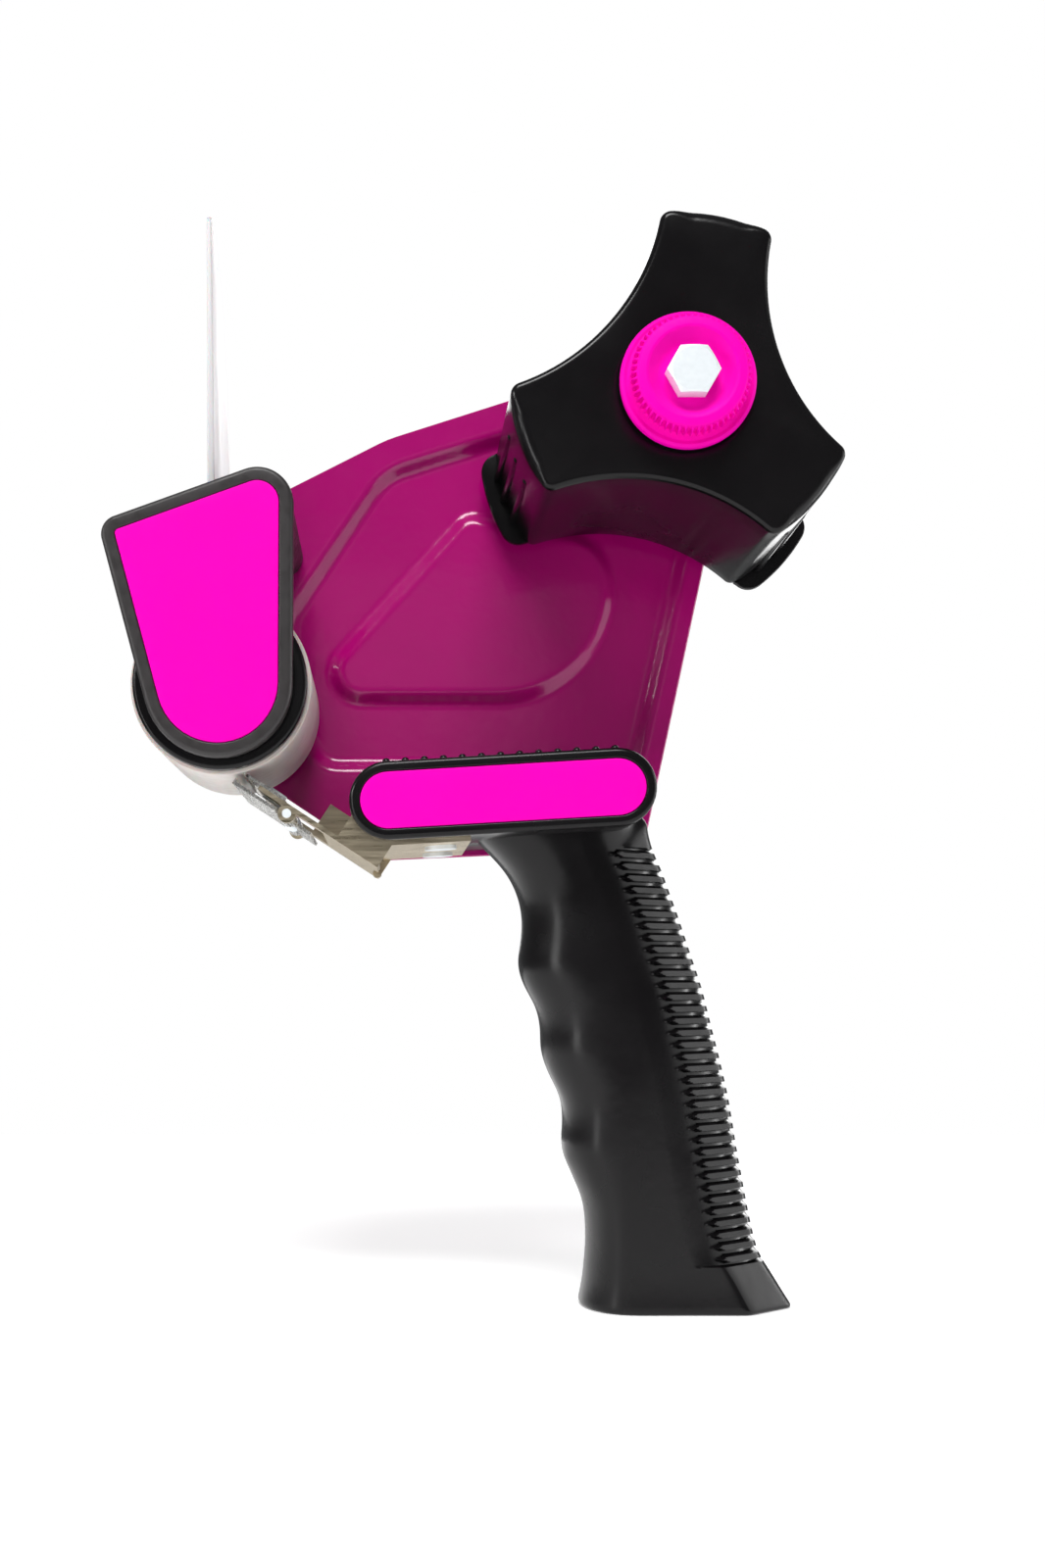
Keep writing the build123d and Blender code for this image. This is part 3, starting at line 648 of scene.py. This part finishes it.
def plate_skin(outline, step):
    """Flat triangulated skin inside an outline, with the axle's hole left open."""
    hole = circle(0, 0, AXLE_HOLE_R, 32)
    low, high = outline.min(0), outline.max(0)
    xs = np.arange(low[0], high[0], step)
    zs = np.arange(low[1], high[1], step)
    grid = np.array([(x + (row % 2) * step / 2, z) for row, z in enumerate(zs) for x in xs])
    margin = step * 0.6
    clear = signed_distance(grid, outline) < -margin
    clear &= np.hypot(grid[:, 0], grid[:, 1]) > AXLE_HOLE_R + margin
    points = [Vector(p) for p in np.concatenate((outline, hole, grid[clear]))]
    edges = loop_edges(0, len(outline)) + loop_edges(len(outline), len(hole))
    flat, _, triangles, *_ = delaunay_2d_cdt(points, edges, [], 1, 1e-6)
    flat = np.array(flat)
    middles = np.array([flat[list(t)].mean(0) for t in triangles])
    kept = np.hypot(middles[:, 0], middles[:, 1]) > AXLE_HOLE_R * 0.98
    return flat, [tuple(t) for t, keep in zip(triangles, kept) if keep]


def open_edges(triangles):
    """Edges that belong to one triangle only, each in the direction that triangle runs."""
    uses = {}
    for t in triangles:
        for a, b in zip(t, t[1:] + t[:1]):
            uses.setdefault(frozenset((a, b)), []).append((a, b))
    return [pairs[0] for pairs in uses.values() if len(pairs) == 1]


def side_plate():
    """Pressed sheet: a near skin, a far skin one sheet thickness behind it, and a bevelled edge."""
    step, edge = 0.9, 0.3
    outline = resampled(rounded(PLATE_CORNERS), step)
    outline = outline - outward(outline) * edge
    flat, triangles = plate_skin(outline, step)
    count = len(flat)
    depth = PLATE_NEAR + pressed_depth(flat)
    near = np.stack((flat[:, 0], depth, flat[:, 1]), axis=1)
    verts = [*near, *(near + (0, SHEET, 0))]
    faces = triangles + [tuple(count + i for i in reversed(t)) for t in triangles]
    rim = open_edges(triangles)
    normals = outward(outline)
    outer = {}
    for a in {i for pair in rim for i in pair}:
        gap = np.hypot(*(outline - flat[a]).T)
        nearest = int(gap.argmin())
        push = normals[nearest] * edge if gap[nearest] < 0.01 else np.zeros(2)
        x, z = flat[a] + push
        outer[a] = len(verts)
        verts += [(x, depth[a] + edge, z), (x, depth[a] + SHEET - edge, z)]
    for a, b in rim:
        near_a, near_b = outer[a], outer[b]
        far_a, far_b = near_a + 1, near_b + 1
        faces += [(b, a, near_a, near_b), (near_b, near_a, far_a, far_b)]
        faces += [(far_b, far_a, count + a, count + b)]
    shape = Shape().add(verts, faces)
    return piece("pressed_side_plate", shape, "frame", "plate_paint", ["side_plate"], 40)


# ---------------------------------------------------------------- core holder
def star():
    """Outline of the three-armed hub and, for each point, how much it belongs to an arm's tip."""
    corner = 2.6
    tip_steps, corner_steps, scallop_steps = 26, 10, 44
    to_corner, to_scallop = ARM_TIP_R - corner, SCALLOP_R + corner
    spread = acos((to_corner**2 + SCALLOP_AT**2 - to_scallop**2) / (2 * to_corner * SCALLOP_AT))
    points, tipness = [], []

    def arc(cx, cz, radius, start, end, steps):
        for step in range(steps):
            share = step / steps
            angle = start + (end - start) * share
            points.append((cx + radius * cos(angle), cz + radius * sin(angle)))
            tipness.append(eased(0.5 - abs(share - 0.5), 0.0, 0.25) if radius == ARM_TIP_R else 0.0)

    for arm in ARM_ANGLES:
        after = radians(arm + 60)
        low, high = radians(arm - 60) + spread, after - spread
        scallop = np.array((SCALLOP_AT * cos(after), SCALLOP_AT * sin(after)))
        arc(0, 0, ARM_TIP_R, low, high, tip_steps)
        middle = to_corner * np.array((cos(high), sin(high)))
        towards = atan2(*(scallop - middle)[::-1])
        turn = (towards - high) % (2 * pi)
        arc(*middle, corner, high, high + turn, corner_steps)
        following = low + radians(120)
        next_middle = to_corner * np.array((cos(following), sin(following)))
        start = atan2(*(middle - scallop)[::-1])
        end = atan2(*(next_middle - scallop)[::-1])
        sweep = (end - start + pi) % (2 * pi) - pi
        arc(*scallop, SCALLOP_R, start, start + sweep, scallop_steps)
        leaving = atan2(*(scallop - next_middle)[::-1])
        back = (following - leaving) % (2 * pi)
        arc(*next_middle, corner, leaving, leaving + back, corner_steps)
    return np.array(points), np.array(tipness)


def hub_body():
    """Rings of one closed skin: face, rounded edge, drafted wall, hollow, brake pocket and bearing boss."""
    outline, tipness = star()
    normals = outward(outline)
    edge_round = 1.5 + 1.6 * tipness
    angles = np.arctan2(outline[:, 1], outline[:, 0])
    draft, lip_step = 0.2, 0.3
    edge_steps, wall_steps = 7, 12

    def star_ring(inset, y):
        inset = np.broadcast_to(inset, (len(outline),))
        return ring_at(outline - normals * inset[:, None], y)

    def round_ring(radius, y):
        return ring_at(np.stack((radius * np.cos(angles), radius * np.sin(angles)), axis=1), y)

    rings = []
    for step in range(edge_steps + 1):
        lean = radians(90 * step / edge_steps)
        rings.append(star_ring(edge_round * (1 - sin(lean)), HUB_NEAR + edge_round * (1 - cos(lean))))
    length = LIP_FAR - HUB_NEAR
    for share in np.linspace(0.15, 1, wall_steps):
        drawn_in = lip_step if share == 1 else 0
        rings.append(star_ring(drawn_in - draft * share, HUB_NEAR + length * share))
    inner_near = HUB_NEAR + HUB_WALL
    rings.append(star_ring(HUB_WALL - draft, LIP_FAR))
    rings.append(star_ring(HUB_WALL + 0.2, inner_near + 1.5))
    rings.append(star_ring(HUB_WALL + 1.2, inner_near))
    pocket_back = POCKET_FLOOR + 2
    for radius, y in ((POCKET_R + HUB_WALL, inner_near), (POCKET_R + HUB_WALL, pocket_back),
                      (BOSS_R, pocket_back), (BOSS_R, HUB_BACK), (BUSH_R, HUB_BACK),
                      (BUSH_R, POCKET_FLOOR), (POCKET_R, POCKET_FLOOR), (POCKET_R, HUB_NEAR + 0.8),
                      (POCKET_R + 0.25, HUB_NEAR + 0.2), (POCKET_R + 0.8, HUB_NEAR)):
        rings.append(round_ring(radius, y))
    return rings


def hub_lips(shape):
    """Round-cornered flange tabs that stop the tape roll."""
    half_width, corner = 11.5, 4.5
    root = ARM_TIP_R - 2.0
    reach = asin(half_width / LIP_R)
    tip = [(LIP_R * cos(a), LIP_R * sin(a)) for a in np.linspace(-reach, reach, 26)]
    inner = [(*p, 0) for p in tip if abs(p[1]) < half_width - corner * 0.8]
    low = (LIP_R * cos(reach), -half_width, corner)
    high = (LIP_R * cos(reach), half_width, corner)
    outline = rounded([(root, -half_width, 0), low, *inner, high, (root, half_width, 0)], 12)
    for arm in ARM_ANGLES:
        c, s = cos(radians(arm)), sin(radians(arm))
        x, z = outline.T
        spun = np.stack((x * c - z * s, x * s + z * c), axis=1)
        pressed_out(shape, spun, LIP_NEAR, LIP_FAR, 0.5)


def hub_ribs(shape):
    """Three rod-like grip ribs along each arm's tip, which rise towards the side plate."""
    radius, spacing = 1.0, 8.0
    start, end = -11.5, LIP_NEAR + 0.3
    near_at, far_at = ARM_TIP_R - 0.55, ARM_TIP_R + 0.5
    for arm in ARM_ANGLES:
        for step in (-spacing, 0.0, spacing):
            c, s = cos(radians(arm + step)), sin(radians(arm + step))
            capsule(shape, (near_at * c, start, near_at * s), (far_at * c, end, far_at * s), radius)


def core_hub():
    shape = Shape()
    shape.rings(hub_body(), closed=True)
    hub_lips(shape)
    hub_ribs(shape)
    return piece("core_holder", shape, "hub", "black_gloss", ["core_hub"], 30)


# ---------------------------------------------------------------- tension knob
def knob_body(shape):
    """Turned body with a flange, a grooved neck, a ring and a bowl for the bolt's head."""
    flange, ring, neck = KNOB_FLANGE_R, KNOB_RING_R, KNOB_RING_R - 0.9
    hollow_r, hollow_floor = 10.6, KNOB_BACK - 2.0
    corners = (
        (KNOB_HOLE_R, HEAD_SEAT, 0),
        (KNOB_RECESS_R - 2.6, HEAD_SEAT, 1.8),
        (KNOB_RECESS_R - 0.1, KNOB_FRONT + 0.2, 0.5),
        (KNOB_RECESS_R + 0.5, KNOB_FRONT, 0.5),
        (ring - 1.1, KNOB_FRONT + 0.35, 0.5),
        (neck, KNOB_FRONT + 1.2, 0.2),
        (neck, KNOB_BACK - 2.5, 0.4),
        (flange - 1.4, KNOB_BACK - 2.0, 0.4),
        (flange - 0.7, KNOB_BACK - 2.1, 0.3),
        (flange, KNOB_BACK - 1.5, 0.5),
        (flange, KNOB_BACK, 0.3),
        (hollow_r, KNOB_BACK, 0.2),
        (hollow_r, hollow_floor, 0),
        (KNOB_HOLE_R, hollow_floor, 0),
    )
    turned(shape, rounded(corners, 18), closed=True, count=144)


def knob_teeth(shape):
    """Band of fine teeth round the ring, rounded off at both ends."""
    points_per_tooth = 8
    tooth, root, inner = 0.95, KNOB_RING_R - 0.95, KNOB_RING_R - 1.6
    count = KNOB_TEETH * points_per_tooth
    angles = 2 * pi * np.arange(count) / count
    wave = np.maximum(0, np.cos(angles * KNOB_TEETH)) ** 0.6
    top, bottom = KNOB_FRONT + 0.55, KNOB_BACK - 3.0

    def toothed_ring(radius, y):
        return ring_at(np.stack((radius * np.cos(angles), radius * np.sin(angles)), axis=1), y)

    growth = ((bottom, 0.0), (bottom - 0.15, 0.7), (bottom - 0.6, 1.0),
              (top + 0.9, 1.0), (top + 0.35, 0.75), (top, 0.1))
    rings = [toothed_ring(root + wave * tooth * grow, y) for y, grow in growth]
    rings += [toothed_ring(inner, top), toothed_ring(inner, bottom)]
    shape.rings(rings, closed=True)


def tension_knob():
    shape = Shape()
    knob_body(shape)
    knob_teeth(shape)
    return piece("tension_knob_body", shape, "knob", "magenta_plastic", ["tension_knob"], 50)


# ---------------------------------------------------------------- roller
def roller_drum():
    corners = ((DRUM_BORE_R, DRUM_NEAR, 0), (DRUM_R, DRUM_NEAR, 0.3), (DRUM_R, DRUM_FAR, 0.3),
               (DRUM_BORE_R, DRUM_FAR, 0))
    shape = Shape()
    turned(shape, rounded(corners, 30), ROLLER_X, ROLLER_Z, closed=True, count=160)
    return piece("roller_sleeve", shape, "roller", "drum_plastic", ["roller_drum"])


def roller_cap(name, node, outer, inward):
    """Moulded end cap: rounded rim, sunken web, spigot and bearing boss. inward is +1 or -1 along y."""
    rim, spigot, bore = CAP_R, DRUM_BORE_R, AXLE_HOLE_R
    boss, wall = 6.5, 2.0
    web, web_back = outer + 1.6 * inward, outer + 4.0 * inward
    rim_back, spigot_end, boss_end = outer + 3.6 * inward, outer + 7.6 * inward, outer + 14.0 * inward
    corners = (
        (bore, outer, 0), (boss, outer, 0.4), (boss + 0.3, web, 0.4),
        (spigot - 3.0, web, 0.5), (spigot - 1.8, outer, 0.6), (rim, outer, 1.0),
        (rim, rim_back, 0.2), (spigot, rim_back, 0.2),
        (spigot, spigot_end, 0.2), (spigot - wall, spigot_end, 0.2),
        (spigot - wall, web_back, 0.5), (boss, web_back, 0.5),
        (boss, boss_end, 0.2), (bore, boss_end, 0),
    )
    shape = Shape()
    turned(shape, rounded(corners, 20), ROLLER_X, ROLLER_Z, closed=True, count=128)
    return piece(name, shape, "roller", "black_gloss", [node])


# ---------------------------------------------------------------- cheek, platform and their inserts
def rimmed(shape, circles, front, back, rim, pocket):
    """A plate with a rounded raised rim round a shallow pocket in its near face."""
    corners = (
        (rim + 2, front + pocket, 0), (rim, front + pocket, 0.2), (rim, front, 0.35),
        (0, front, min(1.1, rim * 0.5)), (0, back, 0.35), (rim + 2, back, 0),
    )
    return belted(shape, circles, rounded(corners, 18, False))


def insert_plate(name, node, circles, front, rim, pocket):
    """Coloured insert that fills the pocket and stands a little proud of its rim."""
    inset, face, back = rim + 0.12, front - 0.1, front + pocket
    corners = ((inset + 2, face, 0), (inset, face, 0.3), (inset, back, 0), (inset + 2, back, 0))
    shape = belted(Shape(), circles, rounded(corners, 20, False))
    return piece(name, shape, "frame", "magenta_plastic", [node])


def front_cheek():
    shape = rimmed(Shape(), CHEEK_CIRCLES, CHEEK_FRONT, CHEEK_BACK, CHEEK_RIM, CHEEK_POCKET)
    return piece("cheek_frame", shape, "frame", "black_matte", ["front_cheek"])


# ---------------------------------------------------------------- handle
def platform_point(share, height):
    """x, z of a point above the platform's centre line, share of the way along it."""
    left, right = np.array(PLATFORM_LEFT), np.array(PLATFORM_RIGHT)
    along = unit(right - left)
    return left + (right - left) * share + height * np.array((-along[1], along[0]))


def platform_half(shape, near, far):
    """Half of the platform block, with its share of the top's ridges. The near half holds the insert."""
    if near == PLATFORM_NEAR:
        rimmed(shape, PLATFORM_CIRCLES, near, far, PLATFORM_RIM, PLATFORM_POCKET)
        start, end = near + 2.0, far - RIDGE_END
    else:
        corners = ((4, near, 0), (0, near, 0.05), (0, far, 0.8), (4, far, 0))
        belted(shape, PLATFORM_CIRCLES, rounded(corners, 18, False))
        start, end = near + RIDGE_END, far - 3.0
    for index in range(RIDGES):
        x, z = platform_point(index / (RIDGES - 1), PLATFORM_R - 0.15)
        capsule(shape, (x, start, z), (x, end, z), RIDGE_R)


def rib_band(z, left_share):
    """1 on a rib's top and 0 between ribs, for points at shares of a rib's length from its right end."""
    above = RIB_TOP + RIB_PITCH * 0.55
    below = RIB_TOP - (RIB_COUNT - 1) * RIB_PITCH - RIB_PITCH * 0.55
    if z > above:
        limit = 0.75 - 0.09 * (z - above)
        return 1 - eased(left_share, limit - 0.25, limit + 0.1)
    if z < below:
        return np.ones_like(left_share)
    phase = (RIB_TOP - z) / RIB_PITCH
    gap = abs(phase - round(phase)) * RIB_PITCH
    half = RIB_THICK / 2 * (1 - 0.9 * eased(left_share, 0.8, 1.0))
    return (1 - eased(gap, half - 0.15, half + 0.2)) * (1 - eased(left_share, 0.96, 1.06))


GRIP_HEIGHTS, GRIP_EDGES = smoothed(GRIP, 1.6)
SIDE_HEIGHTS, SIDE_EDGE = smoothed(GRIP_SIDE, 6.0)


def grip_back_half(z, back, depth, count=44):
    """x and y from the back edge to the flat side: a rounded base, with facets where the ribs stand."""
    blend, power = 40, 1.25
    angles = pi / 2 * np.linspace(0, 1, count) ** 0.8
    base_x = GRIP_BACK - GRIP_SHOULDER * (1 - np.maximum(np.cos(angles), 0) ** power)
    base_y = depth * np.sin(angles) ** power
    reach = np.hypot(base_x, base_y)
    turn = np.arctan2(base_y, base_x)
    facets = ((0.0, GRIP_BACK + 0.1), (radians(GRIP_FACET_ANGLE), GRIP_FACET_AT), (radians(90), depth + 0.02))
    inverse = sum(np.maximum(0, np.cos(turn - facing) / away) ** blend for facing, away in facets)
    envelope = np.maximum(inverse ** (-1 / blend), reach)
    left_share = np.clip((GRIP_BACK - envelope * np.cos(turn)) / RIB_LENGTH, 0, 1.5)
    out = reach + (envelope - reach) * rib_band(z, left_share)
    return back - GRIP_BACK + out * np.cos(turn), out * np.sin(turn)


def grip_half_section(z, side, side_count=8, front_count=30):
    """Points of half a level section, from the back edge round to the front edge."""
    front, back, depth = (np.interp(z, GRIP_HEIGHTS, column) for column in GRIP_EDGES)
    meets = np.interp(z, SIDE_HEIGHTS, SIDE_EDGE[0])
    back += GRIP_SKIN
    back_x, back_y = grip_back_half(z, back, depth)
    side_x = np.linspace(back - GRIP_SHOULDER, meets, side_count + 2)[1:-1]
    angles = np.linspace(pi / 2, pi, front_count)
    power = 0.88
    front_x = meets - (meets - front) * np.abs(np.cos(angles)) ** power
    front_y = depth * np.abs(np.sin(angles)) ** power
    x = np.concatenate((back_x, side_x, front_x))
    y = np.concatenate((back_y, np.full(side_count, depth), front_y))
    y[0], y[-1] = 0.0, 0.0
    half_gap = 0.03
    return np.stack((x, side * np.maximum(y, half_gap), np.full(len(x), z)), axis=1)


def grip_levels():
    """Heights of the grip's sections: close together across the ribs."""
    start, bottom_round = RIB_TOP + 2, 1.2
    top = list(np.linspace(GRIP[0][0], start, 14, endpoint=False))
    ribs = list(np.arange(start, RIB_TOP - RIB_COUNT * RIB_PITCH - 1, -RIB_PITCH / 9))
    return top + ribs + list(np.linspace(ribs[-1] - 0.5, BUTT_Z + bottom_round, 10))


def grip_half(shape, side):
    """Half of the grip, with a rounded edge round its butt."""
    rings = [grip_half_section(z, side) for z in grip_levels()]
    edge, steps = 1.2, 6
    for step in range(1, steps + 1):
        lean = radians(90 * step / steps)
        ring = grip_half_section(BUTT_Z + edge * (1 - sin(lean)), side)
        middle = np.array((ring[:, 0].mean(), 0, 0))
        pull = unit_rows((ring - middle) * (1, 1, 0)) * edge * (1 - cos(lean))
        pull[:, 1] *= np.abs(ring[:, 1]) > 0.1
        rings.append(ring - pull)
    return shape.rings(rings)


def handle_near():
    shape = Shape()
    platform_half(shape, PLATFORM_NEAR, -0.03)
    grip_half(shape, -1)
    return piece("handle_shell_near", shape, "frame", "black_gloss", ["handle_near_half"], 32)


def handle_far():
    """The far half, with a recess for each of the grip's screws."""
    recess_r, recess_floor, outside = 3.6, 8.0, 20.0
    grip = new_object("handle_shell_far", grip_half(Shape(), 1))
    recesses = Shape()
    for x, z in GRIP_SCREWS:
        turned(recesses, ((recess_r, recess_floor), (recess_r, outside)), x, z, count=40)
    cut_away(grip, recesses)
    block = Shape()
    platform_half(block, 0.03, PLATE_NEAR)
    add_mesh(grip, block)
    return finish_piece(grip, "frame", "black_gloss", ["handle_far_half"], 32)


# ---------------------------------------------------------------- flap
def flap_section(z, share):
    """Level section of the blade, share of the way up: it thins, narrows at the top corners and twists."""
    base, tip, corner, edge = 1.8, 1.0, 3.0, 0.35
    half = (base + (tip - base) * share) / 2
    drop = max(0.0, z - (FLAP_TOP - corner))
    cut = corner - max(corner**2 - drop**2, 0.05) ** 0.5
    near, far = FLAP_NEAR + cut, FLAP_END - cut
    outline = rounded(((-half, near, edge), (half, near, edge), (half, far, edge), (-half, far, edge)), 30)
    across = (outline[:, 1] - FLAP_NEAR) / (FLAP_END - FLAP_NEAR)
    twist, bow = 2.2, 0.5
    shift = -twist * share**2 * across - bow * share**2
    return np.stack((FLAP_X + outline[:, 0] + shift, outline[:, 1], np.full(len(outline), z)), axis=1)


def tape_flap():
    """Thin flexible blade with a moulded sleeve round its rod."""
    shape = Shape()
    levels = np.linspace(FLAP_Z + 1.5, FLAP_TOP, 40)
    shape.rings([flap_section(z, (z - levels[0]) / (levels[-1] - levels[0])) for z in levels])
    bore, sleeve = 2.06, 3.6
    corners = ((bore, FLAP_NEAR, 0), (sleeve, FLAP_NEAR, 0.4), (sleeve, FLAP_END, 0.4), (bore, FLAP_END, 0))
    turned(shape, rounded(corners, 30), FLAP_X, FLAP_Z, closed=True, count=48)
    return piece("flap_blade", shape, "flap", "flap_plastic", ["tape_flap"])


# ---------------------------------------------------------------- carried-over nodes
def dress_nodes():
    """Gives every CAD node that still shows its procedural material."""
    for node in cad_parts.values():
        for place in node.material_slots:
            place.material = LOOKS[place.material.name.split(".")[0]]


# ---------------------------------------------------------------- studio
def area_light(name, place, target, size, power):
    data = bpy.data.lights.new(name, "AREA")
    data.shape = "RECTANGLE"
    data.size, data.size_y = size
    data.energy = power
    obj = bpy.data.objects.new(name, data)
    obj.location = place
    obj.rotation_euler = (Vector(target) - Vector(place)).to_track_quat("-Z", "Y").to_euler()
    bpy.context.scene.collection.objects.link(obj)


def lights():
    """Soft boxes: place and size in metres, power in watts."""
    middle = (CAD_LOW + CAD_HIGH) / 2
    area_light("key", (-0.86, -0.35, 0.20), middle, (0.16, 0.24), 2.2)
    area_light("fill", (0.80, -0.14, -0.10), middle, (0.6, 0.9), 2.4)
    area_light("strip", (0.70, 0.17, -0.05), middle, (0.06, 0.5), 1.2)
    area_light("top", (-0.15, -0.75, 0.95), middle, (0.7, 0.4), 14)
    area_light("back", (0.2, 1.0, 0.3), middle, (1.0, 0.8), 7)
    area_light("groove", (-0.60, -0.48, -0.12), middle, (0.14, 0.30), 0.8)
    area_light("haze", (-0.03, -1.3, 0.17), middle, (0.25, 0.2), 0.06)


def backdrop():
    """White behind the tool, with only a dim white light of its own."""
    world = bpy.data.worlds.new("studio_white")
    bpy.context.scene.world = world
    world.use_nodes = True
    nodes, links = world.node_tree.nodes, world.node_tree.links
    seen, ambient = nodes["Background"], nodes.new("ShaderNodeBackground")
    seen.inputs["Color"].default_value = (1, 1, 1, 1)
    seen.inputs["Strength"].default_value = 1.0
    ambient.inputs["Color"].default_value = (0.96, 0.98, 1.0, 1)
    ambient.inputs["Strength"].default_value = 0.16
    paths, mix = nodes.new("ShaderNodeLightPath"), nodes.new("ShaderNodeMixShader")
    links.new(paths.outputs["Is Camera Ray"], mix.inputs["Fac"])
    links.new(ambient.outputs["Background"], mix.inputs[1])
    links.new(seen.outputs["Background"], mix.inputs[2])
    links.new(mix.outputs["Shader"], nodes["World Output"].inputs["Surface"])


def floor():
    """Pale matt floor just under the handle's butt, bright enough to pass for a white sweep."""
    look = Look("floor_white", (0.95, 0.95, 0.95), 0.9)
    look.colours(look.noise(3, 2), (0.94, 0.94, 0.94), (0.97, 0.97, 0.97))
    look.set("Emission Color", (1, 1, 1, 1))
    look.set("Emission Strength", 0.30)
    half = 420.0
    level = BUTT_Z - 0.05
    shape = Shape()
    corners = [(-half, -half, level), (half, -half, level), (half, half, level), (-half, half, level)]
    shape.add(corners, [(0, 1, 2, 3)])
    obj = new_object("studio_floor", shape)
    obj.data.materials.append(look.material)


def camera():
    """Square-on camera, below and left of the hub, shifted so that the whole gun is in the frame."""
    data = bpy.data.cameras.new("camera")
    data.lens = 40.7
    data.sensor_width = 36.0
    data.shift_x, data.shift_y = 0.0863, 0.1188
    data.clip_start, data.clip_end = 0.01, 50
    obj = bpy.data.objects.new("camera", data)
    obj.location = (-0.0651, -0.412, -0.1276)
    obj.rotation_euler = (radians(90), 0, 0)
    bpy.context.scene.collection.objects.link(obj)
    bpy.context.scene.camera = obj


dress_nodes()
side_plate()
core_hub()
tension_knob()
roller_drum()
roller_cap("roller_end_near", "roller_cap_near", CAP_NEAR, 1)
roller_cap("roller_end_far", "roller_cap_far", CAP_FAR, -1)
front_cheek()
insert_plate("cheek_inlay", "cheek_insert", CHEEK_CIRCLES, CHEEK_FRONT, CHEEK_RIM, CHEEK_POCKET)
handle_near()
handle_far()
insert_plate("platform_inlay", "platform_insert", PLATFORM_CIRCLES, PLATFORM_NEAR, PLATFORM_RIM,
             PLATFORM_POCKET)
tape_flap()
lights()
backdrop()
floor()
camera()
bpy.context.scene.view_settings.view_transform = "Standard"
